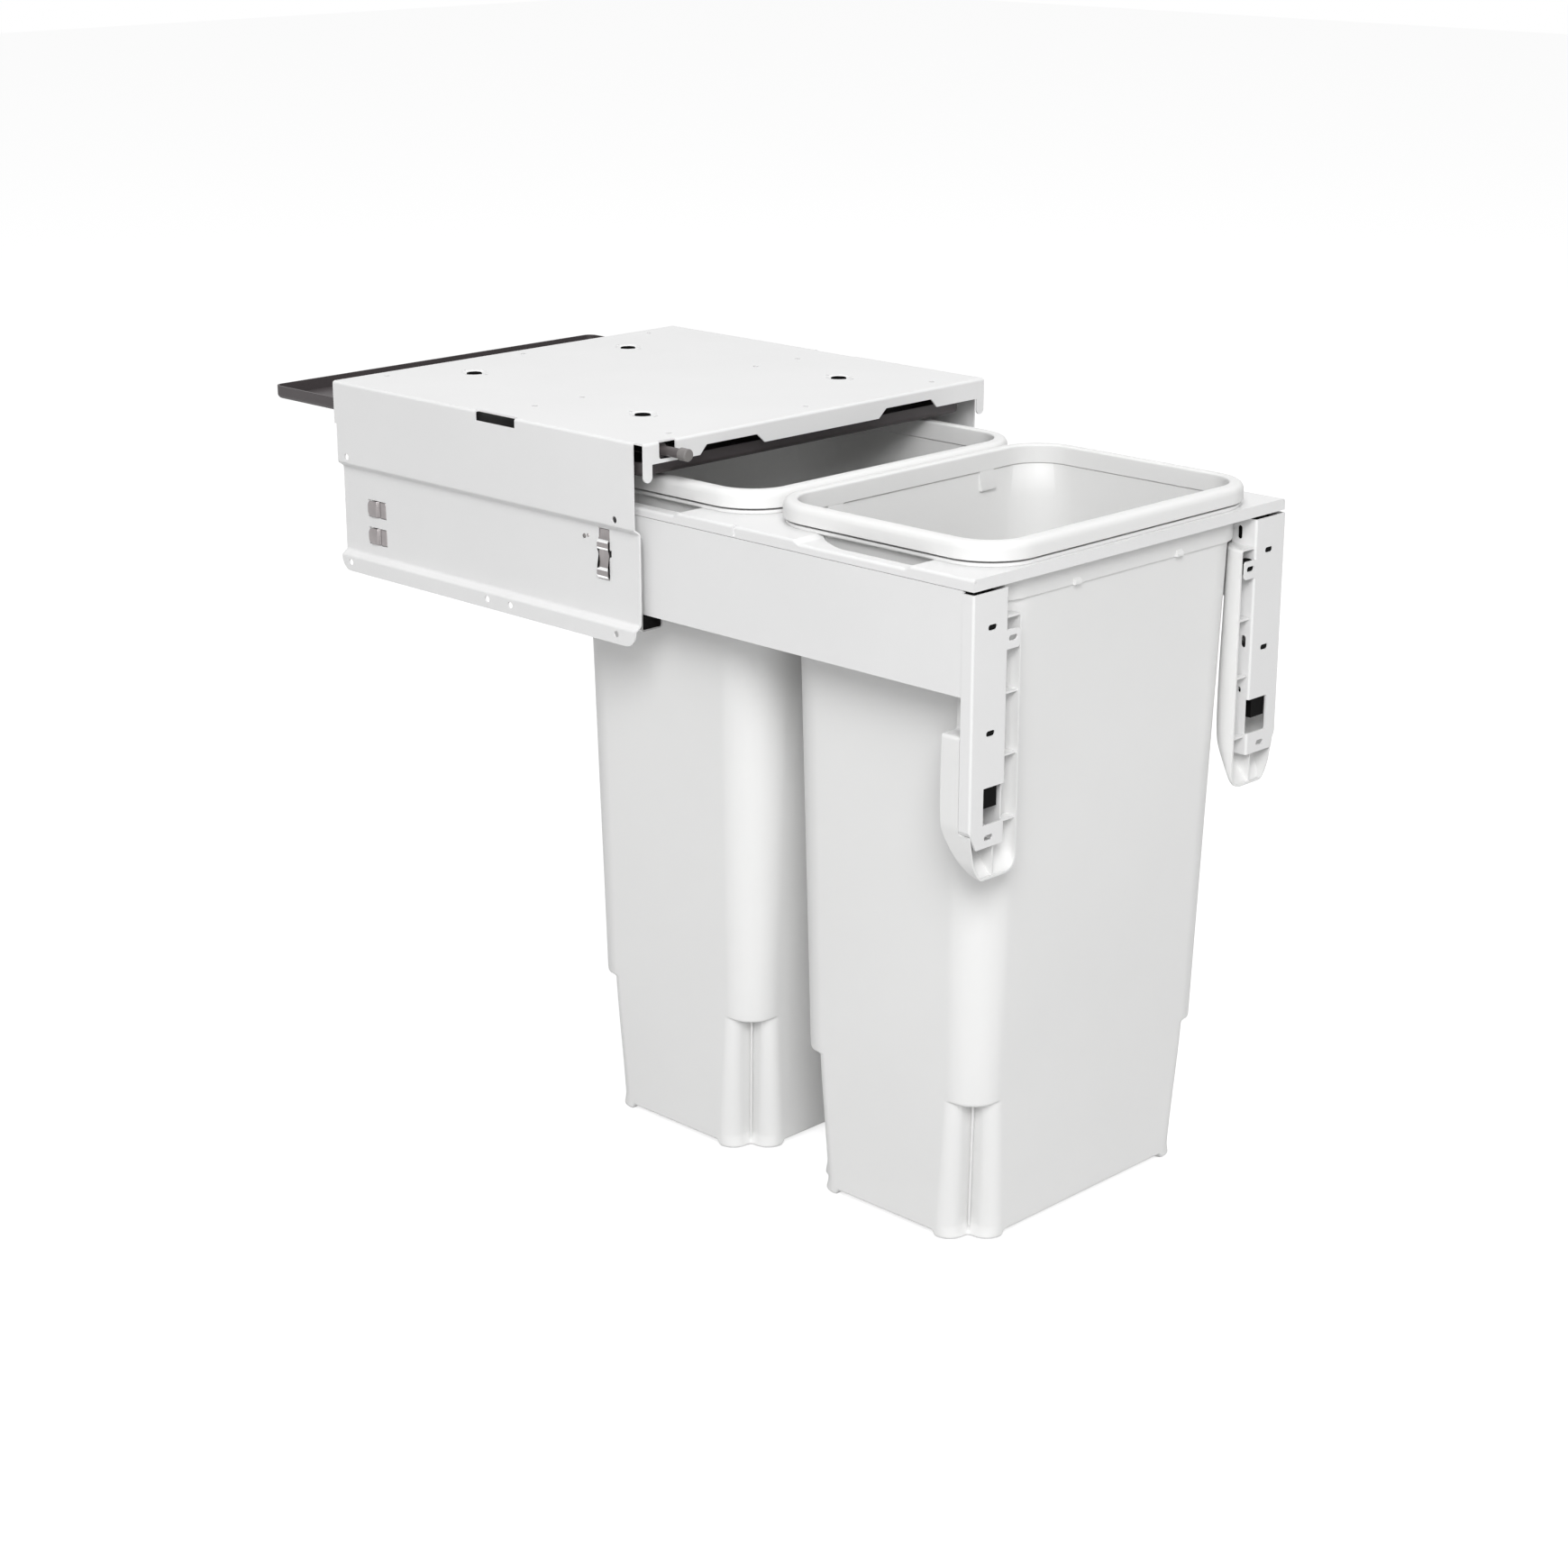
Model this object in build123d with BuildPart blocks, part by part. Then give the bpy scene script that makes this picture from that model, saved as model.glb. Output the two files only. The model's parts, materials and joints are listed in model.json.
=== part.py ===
from build123d import *
import os

# Twin pull-out waste bin unit that hangs inside a 450 mm kitchen cabinet. Millimetres.
# X: to the right seen from the kitchen. Y: towards the rear. Z: up.
# Origin: middle of the housing's front edge, on the top face of its top plate.
# The unit is shown half pulled out. Pieces of a left and right pair are drawn on the right.

os.makedirs("parts", exist_ok=True)

SHEET = 1.5  # every folded steel sheet
BEND = 2.5  # outer radius of its bends
OVER = 1.0  # how far a cut runs past the face it starts from
NEAR = 0.01  # two places closer than this are the same

# Housing: one sheet folded into a top plate and two side walls
HALF_WIDTH = 209.0
HOUSING_DEPTH = 391.8
WALL_REAR = (389.0, -38.0)  # where the walls end, and the height over which they reach further
WALL_OUT = 203.0  # outer face of the lower, joggled-in part of a side wall
WALL_IN = WALL_OUT - SHEET
JOG_IN = (-72.5, -76.9)
JOG_OUT = (-153.0, -157.0)
WALL_BOTTOM = -171.0
FOOT_CORNER = 12.0
FLANGE_Y = -11.5
FLANGE_HALF = 207.4
FLANGE_BOTTOM = -17.6
NOTCH_TOP = -9.8
NOTCH_X = (68.5, 79.0, 137.0, 145.5)
FINGER_X = (198.0, 207.4)
FINGER_BOTTOM = -32.0
TOP_SCREWS_X = 160.0
TOP_SCREWS_Y = (9.0, 175.0, 376.0)
MIDDLE_HOLES = ((0.0, 9.0), (0.0, 376.0), (106.0, 175.0), (-106.0, 175.0))
SCREW_HOLE_R = 2.5
WALL_HOLES = ((23.2, -66.8), (376.7, -66.8))
FOOT_HOLES_Y = (23.2, 157.1, 187.4, 376.7)
FOOT_HOLES_Z = -163.0
FOOT_HOLE_R = 3.0
WALL_WINDOW_X = 204.5
WALL_WINDOW_Y = (145.0, 196.0)
WALL_WINDOW_Z = -8.7

# Pressed dimples of the top plate, from which the lid hangs
DIMPLES = ((94.0, 334.0), (-94.0, 334.0), (119.5, 84.0), (-119.5, 84.0))
DIMPLE_R = 12.0
DIMPLE_FLOOR_R = 8.5
DIMPLE_HOLE_R = 6.5
DIMPLE_DEPTH = 2.6
PIN_HOLE = (14.2, 1.5)  # distance behind the dimple's centre, radius
PIN_SLOT = (16.0, 5.0, 1.6)  # distance in front of the dimple's centre, length, width

# Lid
LID_HALF = 195.0
LID_Y = (4.5, 500.0)
LID_Z = (-31.5, -19.5)
LID_WALL = 1.8
LID_FLOOR = 2.0
LID_CORNER = 9.0
LID_EDGE = 4.5
STUD_R = 4.0
STUD_BASE_R = 10.0
HEAD_R = 6.15
HEAD_THICK = 1.4
BUSH_R = 12.0
BUSH_THICK = 5.4
STOP_GAP = 0.1
STUD_FIT = 0.4  # radial play of a stud in its bush

# Door damper
DAMPER_X = -181.0
DAMPER_Z = -9.0
DAMPER_TUBE_R = 6.0
DAMPER_TUBE_Y = (-4.5, 78.0)
DAMPER_ROD_R = 4.1
DAMPER_FIT = 0.1
DAMPER_ROD_Y = (-27.6, 42.0)
DAMPER_CAP_R = 5.25
DAMPER_CAP_Y = -36.6
DAMPER_CAP_EDGE = 1.2
DAMPER_NOTCH = (18.5, 14.7, 3.0)  # width, depth and corner radius of its notch in the front flange
DAMPER_END = 6.0  # closed rear end of the tube
CLAMP_Y = (8.0, 48.0)
CLAMP = (18.0, 14.0, 2.0)  # width, length, and reach below the damper's axis

# Slides: J-shaped bracket, outer, middle and inner profiles, with balls between them
SLIDE_LENGTH = 388.0
J_TOP = -80.0
J_SHELF = -157.0
J_UP_X = 178.6
J_UP_TOP = -92.0
PROFILE = 1.2
RACE_Z = -120.0  # mid-height of the profiles
OUTER_HALF, MIDDLE_HALF, INNER_HALF = 23.0, 18.5, 14.0
OUTER_X = (J_UP_X + SHEET, 189.0)
MIDDLE_X = (183.0, 189.5)
INNER_X = (186.0, 192.1)
INNER_WEB_HALF = 20.0
MIDDLE_FRONT = -169.0
INNER_Y = (-340.0, 147.0)
BALL_R = 1.4
BALL_COUNT = 8
CAGE_LENGTH = 120.0
CAGE_X = (186.4, 188.4)
CAGE_THICK = 1.0
OUTER_CAGE_Y, INNER_CAGE_Y = 113.0, -56.0  # middles of the cages
END_CAP = (13.0, 9.8, 1.2)  # length, height, and gap to the bracket on each side

# Fastening of the slides to the walls
HOOK_Y = (331.0, 355.0)
HOOK_Z = (-110.2, -135.1)
HOOK_HEIGHT = 14.4
HOOK_OUT = 1.8
HOOK_GAP = 0.6
CLIP_Y = (36.0, 49.0)
CLIP_SLOT = (35.7, 49.3, -103.0, -78.0)
CLIP_NOTCH = (33.5, 36.5, -101.5, -95.5)  # widens the slot in front of the clip
CLIP_LINE = (
    (202.0, -78.6),
    (202.0, -86.5),
    (205.2, -89.0),
    (205.2, -94.6),
    (203.3, -97.0),
    (203.3, -110.2),
    (205.6, -112.6),
    (205.6, -118.8),
    (203.4, -121.0),
)
CLIP_THICK = 0.9
CLIP_SCREW = (66.6, -88.0, 2.1)
CLIP_RIVET = (62.2, -86.9, 1.6)
HEAD_PROUD = 1.3

# Carrier
FRAME_HALF = 193.6
FRAME_Y = (-351.5, 150.6)
FRAME_TOP = -54.1
SIDE_LIP = -63.5
END_LIP = -63.5
PITCH = 252.0  # from the front bucket to the rear one
BUCKETS = (0.0, PITCH)
PLATE_TOP = -64.0
PLATE_BOTTOM = -146.1
PLATE_FRONT = -340.8
PLATE_FOLD_X = 180.0
FINGER_CUT = (182.5, -282.3)  # outer side and front of the cut-out beside the front bucket
FINGER_CUT_REAR = ((182.5, -207.0), (174.0, -184.5), (160.5, -166.5))  # arc of its rear end
DIP = 2.8  # how far the sheet is pressed down around a cut-out
DIP_Y = (-288.0, -282.5, -171.5, -164.9)  # ends of the slopes down to it and up from it
LIP_SLOT_Y = (-101.7, -98.6)
LIP_SLOT_BOTTOM = -62.6
PLATE_LAP = 2.0  # how far the plate's inner strip runs down behind its outer part
PLATE_CHAMFER = 1.2  # clears the inside of the frame's bend
PLATE_END_GAP = 1.0  # from the pressed-down sheet to the plate's inner strip
CROSSBAR_BOTTOM = -88.0

# Buckets: collar, tapered body, recessed lower corners, feet
BUCKET_Y = -226.5
COLLAR = (324.0, 233.0, 40.0)
COLLAR_WALL = 4.0
COLLAR_BOTTOM = -82.0
RIM_TOP = -51.1
RIM = (334.0, 243.0, 45.0)
FRAME_GAP = 1.0
BODY_TOP = (160.0, -341.5, -113.5, 44.0)  # half width, front, rear and corner radius at COLLAR_BOTTOM
BODY_BASE = (145.2, -319.8, -128.5, 27.0)  # the same at BASE
BASE = -623.7
BUCKET_WALL = 2.0
RECESS_TOP = -502.0
RECESS = 20.0
LOBE_R = 7.0
VALLEY_R = 6.0
RIB_Z = (-505.0, -617.0)
RIB_LENGTH = 11.0
RIB_THICK = 2.0
FOOT_Z = -628.0
FOOT_REACH = 42.0
FOOT_WALL = 3.0
FOOT_INSET = 2.0
FOOT_LAP = 0.5  # how far the feet run up into the floor
CATCH_X = 63.7
CATCH_Z = (-83.0, -76.0)
CATCH_WIDTH = 8.0
CATCH_PROUD = 1.6

# Liner rings
RING = (337.8, 246.5, 46.0)
RING_OPENING = (314.0, 222.0, 34.0)
RING_Z = (-51.0, -34.7)
RING_WALL = 2.6
RING_EDGE = 2.4
TAB_X = 93.0
TAB = (20.0, 1.3, 14.0)

# Door brackets
DOOR_Y = -352.5
DOOR_BACK = DOOR_Y + SHEET
DOOR_X = (154.4, 194.4)
DOOR_Z = (-266.0, -65.9)
DOOR_SIDE_REAR = -341.3
DOOR_FLANGE_REAR = -328.5
DOOR_CHAMFER = (7.6, 15.5)
DOOR_BEND = 2.0
FLANGE_CHAMFER = (12.0, 26.0)  # of the inner flange's lower rear corner
DOOR_SLOTS_X = 172.5
DOOR_SLOTS_Z = (-93.3, -175.8, -258.3)
SLOT = (9.9, 4.5)
EAR = (140.8, -114.0, -99.0, 2.5)
EAR_SLOT = (148.6, -105.7)
WINDOW = (179.3, -247.8, -218.4)
FLANGE_SLOTS = ((-336.0, -78.4, 11.5, 4.7), (-344.4, -169.4, 10.5, 4.7), (-342.6, -211.0, 5.0, 3.0))
ARM_Z = (-87.8, -66.6)
ARM_REAR = -290.0
ARM_IN = 156.6

# Covers behind the door brackets
COVER_X = (137.5, 177.2, 194.4)  # inner side, outer side, and outer side of the wing
COVER_REAR = (-325.0, -318.0)  # at its top and at its foot
COVER_TOP = -88.5
COVER_BOTTOM = -293.0
WING_TOP = -177.0
COVER_WALL = 1.6
COVER_BEND = 24.0  # of its inner rear corner, which clears the bucket
COVER_FOOT = (
    (194.4, -249.3),
    (188.4, -278.7),
    (178.8, -293.0),
    (148.5, -293.0),
    (142.3, -291.0),
    (138.7, -287.0),
    (137.5, -281.5),
)
COVER_HEEL = ((-319.5, -248.0), (-327.5, -268.0), (-344.4, -289.4), (-348.0, -293.0))
COVER_GAP = 0.6  # between a cover's wall and a flange that passes through it
COVER_RIBS_Z = (-149.0, -198.0, -250.0)
COVER_RIBS_Y = (-350.0, -343.0)
ADJUSTER_X = (161.5, 179.0)
ADJUSTER_Z = (-235.4, -218.9)
ADJUSTER_FRONT = -350.2
ADJUSTER_STRIP = (-346.4, -90.6)  # rear and top of the strip that runs up behind the slots
ADJUSTER_HEAD = ((157.5, 190.0), (-349.3, -330.0), (-88.5, -69.0))  # block above the cover


def front_plane(y):
    """Upright plane across the unit at depth y, facing the kitchen; its axes are X and Z."""
    return Plane.XZ.offset(-y)


def side_plane(x):
    """Upright plane along the unit at x; its axes are Y and Z."""
    return Plane.YZ.offset(x)


def level(z):
    """Horizontal plane at height z; its axes are X and Y."""
    return Plane.XY.offset(z)


def sheet_section(points, side, radius=BEND, thickness=SHEET):
    """Section of a sheet folded along the points of one of its faces, on one side of them."""
    with BuildLine() as fold:
        FilletPolyline(*points, radius=radius)
        offset(amount=thickness, side=side)
    make_face(fold.edges())


def outline(points):
    """Closed outline through the points."""
    with BuildLine() as edge:
        Polyline(*points, close=True)
    make_face(edge.edges())


def span(x, y, z, mode=Mode.ADD):
    """Block between two limits on each axis, given in either order."""
    middle = [sum(limits) / 2 for limits in (x, y, z)]
    size = [abs(limits[1] - limits[0]) for limits in (x, y, z)]
    with Locations(tuple(middle)):
        Box(*size, mode=mode)


def save(piece, name):
    """Labels a finished piece and writes it."""
    piece.part.label = name
    export_step(piece.part, f"parts/{name}.step")


def save_pair(piece, name):
    """Writes a piece drawn on the right, and its mirror image on the left."""
    with BuildPart() as mirrored:
        mirror(piece.part, about=Plane.YZ)
    save(piece, f"{name}_right")
    save(mirrored, f"{name}_left")


# ---------------------------------------------------------------- housing

wall_line = [
    (HALF_WIDTH, 0),
    (HALF_WIDTH, JOG_IN[0]),
    (WALL_OUT, JOG_IN[1]),
    (WALL_OUT, JOG_OUT[0]),
    (HALF_WIDTH, JOG_OUT[1]),
    (HALF_WIDTH, WALL_BOTTOM),
]
dish_section = [
    (DIMPLE_R, 0),
    (DIMPLE_FLOOR_R, -DIMPLE_DEPTH),
    (DIMPLE_HOLE_R, -DIMPLE_DEPTH),
    (DIMPLE_HOLE_R, -DIMPLE_DEPTH - SHEET),
    (DIMPLE_FLOOR_R - SHEET / 3, -DIMPLE_DEPTH - SHEET),
    (DIMPLE_R - SHEET / 3, -SHEET),
    (DIMPLE_R, -SHEET),
]

with BuildPart() as housing_shell:
    with BuildSketch(front_plane(0)):
        sheet_section([(-x, z) for x, z in reversed(wall_line)] + wall_line, Side.RIGHT)
    extrude(amount=-HOUSING_DEPTH)
    span(
        (-HALF_WIDTH - OVER, HALF_WIDTH + OVER),
        (WALL_REAR[0], HOUSING_DEPTH + OVER),
        (WALL_BOTTOM - OVER, WALL_REAR[1]),
        Mode.SUBTRACT,
    )
    feet = housing_shell.edges().filter_by(Axis.X).group_by(Axis.Z)[0]
    fillet(feet, FOOT_CORNER)
    with BuildSketch(side_plane(-FLANGE_HALF)):
        sheet_section([(OVER, 0), (FLANGE_Y, 0), (FLANGE_Y, FLANGE_BOTTOM)], Side.LEFT)
    extrude(amount=2 * FLANGE_HALF)
    for sign in (-1, 1):
        finger_x = sign * sum(FINGER_X) / 2
        finger_r = (FINGER_X[1] - FINGER_X[0]) / 2
        with BuildSketch(front_plane(FLANGE_Y)):
            with Locations((finger_x, FINGER_BOTTOM + finger_r)):
                Circle(finger_r)
            with Locations((finger_x, (FLANGE_BOTTOM + FINGER_BOTTOM + finger_r) / 2)):
                Rectangle(2 * finger_r, FLANGE_BOTTOM - FINGER_BOTTOM - finger_r + 2 * OVER)
        extrude(amount=-SHEET)
        with BuildSketch(front_plane(FLANGE_Y - OVER)):
            outline(
                [
                    (sign * NOTCH_X[0], FLANGE_BOTTOM - OVER),
                    (sign * NOTCH_X[1], NOTCH_TOP),
                    (sign * NOTCH_X[2], NOTCH_TOP),
                    (sign * NOTCH_X[3], FLANGE_BOTTOM - OVER),
                ]
            )
        extrude(amount=-2 * OVER - SHEET, mode=Mode.SUBTRACT)
        # window through the wall's top bend, slots for hooks and clip, holes of the wall
        window_x = (sign * WALL_WINDOW_X, sign * (HALF_WIDTH + OVER))
        span(window_x, WALL_WINDOW_Y, (WALL_WINDOW_Z, OVER), Mode.SUBTRACT)
        wall_x = (sign * (WALL_IN - OVER), sign * (WALL_OUT + OVER))
        for hook_z in HOOK_Z:
            span(
                wall_x,
                (HOOK_Y[0] - HOOK_GAP, HOOK_Y[1] + HOOK_GAP),
                (hook_z - HOOK_HEIGHT / 2 - HOOK_GAP, hook_z + HOOK_HEIGHT / 2 + HOOK_GAP),
                Mode.SUBTRACT,
            )
        for slot in (CLIP_SLOT, CLIP_NOTCH):
            span(wall_x, slot[:2], slot[2:], Mode.SUBTRACT)
    with BuildSketch(front_plane(FLANGE_Y - OVER)):
        with Locations((DAMPER_X, 0)):
            RectangleRounded(DAMPER_NOTCH[0], 2 * DAMPER_NOTCH[1], DAMPER_NOTCH[2])
    extrude(amount=-2 * OVER - SHEET, mode=Mode.SUBTRACT)
    with BuildSketch(side_plane(-HALF_WIDTH - OVER)):
        with Locations(*WALL_HOLES, *[(y, FOOT_HOLES_Z) for y in FOOT_HOLES_Y]):
            Circle(FOOT_HOLE_R)
    extrude(amount=2 * (HALF_WIDTH + OVER), mode=Mode.SUBTRACT)
    with BuildSketch(level(OVER)):
        with Locations(*MIDDLE_HOLES):
            Circle(SCREW_HOLE_R)
        with Locations(*[(s * TOP_SCREWS_X, y) for s in (-1, 1) for y in TOP_SCREWS_Y]):
            Circle(SCREW_HOLE_R)
        for x, y in DIMPLES:
            with Locations((x, y)):
                Circle(DIMPLE_R)
            with Locations((x, y + PIN_HOLE[0])):
                Circle(PIN_HOLE[1])
            with Locations((x, y - PIN_SLOT[0])):
                SlotOverall(*PIN_SLOT[1:])
    extrude(amount=-2 * OVER - SHEET, mode=Mode.SUBTRACT)
    for x, y in DIMPLES:
        with BuildSketch(Plane(origin=(x, y, 0), x_dir=(1, 0, 0), z_dir=(0, -1, 0))):
            outline(dish_section)
        revolve(axis=Axis((x, y, 0), (0, 0, 1)))
save(housing_shell, "housing_shell")

with BuildPart() as hanger_bushes:
    for x, y in DIMPLES:
        with BuildSketch(level(-DIMPLE_DEPTH - SHEET)):
            with Locations((x, y)):
                Circle(BUSH_R)
                Circle(STUD_R + STUD_FIT, mode=Mode.SUBTRACT)
        extrude(amount=-BUSH_THICK)
save(hanger_bushes, "hanger_bushes")

# ---------------------------------------------------------------- lid

with BuildPart() as lid_tray:
    lid_middle = sum(LID_Y) / 2
    lid_length = LID_Y[1] - LID_Y[0]
    with BuildSketch(level(LID_Z[0])):
        with Locations((0, lid_middle)):
            RectangleRounded(2 * LID_HALF, lid_length, LID_CORNER)
    extrude(amount=LID_Z[1] - LID_Z[0])
    fillet(lid_tray.faces().sort_by(Axis.Z)[0].edges(), LID_EDGE)
    with BuildSketch(level(LID_Z[0] + LID_FLOOR)):
        with Locations((0, lid_middle)):
            RectangleRounded(
                2 * (LID_HALF - LID_WALL), lid_length - 2 * LID_WALL, LID_CORNER - LID_WALL
            )
    extrude(amount=LID_Z[1] - LID_Z[0], mode=Mode.SUBTRACT)
save(lid_tray, "lid_tray")

lid_floor_top = LID_Z[0] + LID_FLOOR
head_bottom = -DIMPLE_DEPTH - SHEET + STOP_GAP
with BuildPart() as lid_hangers:
    for x, y in DIMPLES:
        with BuildSketch(level(lid_floor_top)):
            with Locations((x, y)):
                Circle(STUD_R)
        extrude(amount=head_bottom - lid_floor_top)
        with BuildSketch(level(lid_floor_top)):
            with Locations((x, y)):
                Circle(STUD_BASE_R)
        extrude(amount=LID_FLOOR)
        with BuildSketch(level(head_bottom)):
            with Locations((x, y)):
                Circle(HEAD_R)
        extrude(amount=HEAD_THICK)
save(lid_hangers, "lid_hangers")

# ---------------------------------------------------------------- door damper

with BuildPart() as damper_tube:
    with BuildSketch(front_plane(DAMPER_TUBE_Y[0])):
        with Locations((DAMPER_X, DAMPER_Z)):
            Circle(DAMPER_TUBE_R)
    extrude(amount=-(DAMPER_TUBE_Y[1] - DAMPER_TUBE_Y[0]))
    with BuildSketch(front_plane(DAMPER_TUBE_Y[0])):
        with Locations((DAMPER_X, DAMPER_Z)):
            Circle(DAMPER_ROD_R + DAMPER_FIT)
    extrude(amount=-(DAMPER_TUBE_Y[1] - DAMPER_TUBE_Y[0] - DAMPER_END), mode=Mode.SUBTRACT)
save(damper_tube, "damper_tube")

with BuildPart() as damper_clamp:
    for y in CLAMP_Y:
        span(
            (DAMPER_X - CLAMP[0] / 2, DAMPER_X + CLAMP[0] / 2),
            (y, y + CLAMP[1]),
            (DAMPER_Z - CLAMP[2], -SHEET),
        )
    with BuildSketch(front_plane(0)):
        with Locations((DAMPER_X, DAMPER_Z)):
            Circle(DAMPER_TUBE_R)
    extrude(amount=-DAMPER_TUBE_Y[1], mode=Mode.SUBTRACT)
save(damper_clamp, "damper_clamp")

with BuildPart() as damper_rod:
    with BuildSketch(front_plane(DAMPER_ROD_Y[0])):
        with Locations((DAMPER_X, DAMPER_Z)):
            Circle(DAMPER_ROD_R)
    extrude(amount=-(DAMPER_ROD_Y[1] - DAMPER_ROD_Y[0]))
save(damper_rod, "damper_rod")

with BuildPart() as damper_cap:
    with BuildSketch(front_plane(DAMPER_CAP_Y)):
        with Locations((DAMPER_X, DAMPER_Z)):
            Circle(DAMPER_CAP_R)
    extrude(amount=-(DAMPER_ROD_Y[0] - DAMPER_CAP_Y))
    fillet(damper_cap.faces().sort_by(Axis.Y)[0].edges(), DAMPER_CAP_EDGE)
save(damper_cap, "damper_cap")

# ---------------------------------------------------------------- slides

with BuildPart() as slide_bracket:
    with BuildSketch(front_plane(0)):
        sheet_section(
            [
                (WALL_IN, J_TOP),
                (WALL_IN, J_SHELF - SHEET),
                (J_UP_X, J_SHELF - SHEET),
                (J_UP_X, J_UP_TOP),
            ],
            Side.RIGHT,
        )
    extrude(amount=-SLIDE_LENGTH)
save_pair(slide_bracket, "slide_bracket")

with BuildPart() as bracket_end_cap:
    span(
        (J_UP_X + SHEET + END_CAP[2], WALL_IN - SHEET - END_CAP[2]),
        (0, END_CAP[0]),
        (J_SHELF, J_SHELF + END_CAP[1]),
    )
    fillet(bracket_end_cap.edges().filter_by(Axis.Y).group_by(Axis.Z)[-1], SHEET)
save_pair(bracket_end_cap, "bracket_end_cap")

# A profile is a channel: a web with two flanges, open towards the carrier or away from it
with BuildPart() as slide_outer:
    span((OUTER_X[0], OUTER_X[0] + PROFILE), (0, SLIDE_LENGTH), (RACE_Z - OUTER_HALF, RACE_Z + OUTER_HALF))
    for sign in (-1, 1):
        edge = RACE_Z + sign * OUTER_HALF
        span(OUTER_X, (0, SLIDE_LENGTH), (edge, edge - sign * PROFILE))
save_pair(slide_outer, "slide_outer")

middle_y = (MIDDLE_FRONT, MIDDLE_FRONT + SLIDE_LENGTH)
with BuildPart() as slide_middle:
    span((MIDDLE_X[0], MIDDLE_X[0] + PROFILE), middle_y, (RACE_Z - MIDDLE_HALF, RACE_Z + MIDDLE_HALF))
    for sign in (-1, 1):
        edge = RACE_Z + sign * MIDDLE_HALF
        span(MIDDLE_X, middle_y, (edge, edge - sign * PROFILE))
save_pair(slide_middle, "slide_middle")

with BuildPart() as slide_inner:
    span(
        (INNER_X[1] - PROFILE, INNER_X[1]),
        INNER_Y,
        (RACE_Z - INNER_WEB_HALF, RACE_Z + INNER_WEB_HALF),
    )
    for sign in (-1, 1):
        edge = RACE_Z + sign * INNER_HALF
        span(INNER_X, INNER_Y, (edge, edge - sign * PROFILE))
save_pair(slide_inner, "slide_inner")


def ball_cage(flange_out, flange_in, y_middle, name):
    """Two strips of balls, above and below, in the gaps between two profiles."""
    race = (flange_out - PROFILE + flange_in) / 2
    with BuildPart() as ball_strips:
        for sign in (-1, 1):
            z = RACE_Z + sign * race
            span(
                CAGE_X,
                (y_middle - CAGE_LENGTH / 2, y_middle + CAGE_LENGTH / 2),
                (z - CAGE_THICK / 2, z + CAGE_THICK / 2),
            )
            pitch = (CAGE_LENGTH - 4 * BALL_R) / (BALL_COUNT - 1)
            for n in range(BALL_COUNT):
                y = y_middle + (n - (BALL_COUNT - 1) / 2) * pitch
                with Locations((sum(CAGE_X) / 2, y, z)):
                    Sphere(BALL_R)
    save_pair(ball_strips, name)


ball_cage(OUTER_HALF, MIDDLE_HALF, OUTER_CAGE_Y, "ball_cage_outer")
ball_cage(MIDDLE_HALF, INNER_HALF, INNER_CAGE_Y, "ball_cage_inner")

with BuildPart() as slide_hooks:
    for hook_z in HOOK_Z:
        span(
            (WALL_IN, WALL_OUT + HOOK_OUT),
            HOOK_Y,
            (hook_z - HOOK_HEIGHT / 2, hook_z + HOOK_HEIGHT / 2),
        )
    rear_edges = slide_hooks.edges().filter_by(Axis.X).group_by(Axis.Y)[-1]
    fillet(rear_edges, HOOK_HEIGHT / 3)
save_pair(slide_hooks, "slide_hooks")

with BuildPart() as spring_clip:
    with BuildSketch(front_plane(CLIP_Y[0])):
        with BuildLine():
            FilletPolyline(*CLIP_LINE, radius=CLIP_THICK)
            offset(amount=CLIP_THICK / 2, side=Side.LEFT)
        make_face()
    extrude(amount=-(CLIP_Y[1] - CLIP_Y[0]))
save_pair(spring_clip, "spring_clip")

with BuildPart() as housing_fasteners:
    for y, z, radius in (CLIP_SCREW, CLIP_RIVET):
        with BuildSketch(side_plane(WALL_OUT)):
            with Locations((y, z)):
                Circle(radius)
        extrude(amount=HEAD_PROUD)
    mirror(about=Plane.YZ)
save(housing_fasteners, "housing_fasteners")

# ---------------------------------------------------------------- carrier


def rim_section(y, top, sign):
    """Section of the frame's sheet beside a bucket at depth y, from the bucket out to the side lip."""
    with BuildSketch(front_plane(y)) as section:
        sheet_section(
            [
                (sign * COLLAR[0] / 2, top),
                (sign * FRAME_HALF, top),
                (sign * FRAME_HALF, SIDE_LIP),
            ],
            Side.RIGHT if sign > 0 else Side.LEFT,
        )
    return section.sketch


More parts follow.
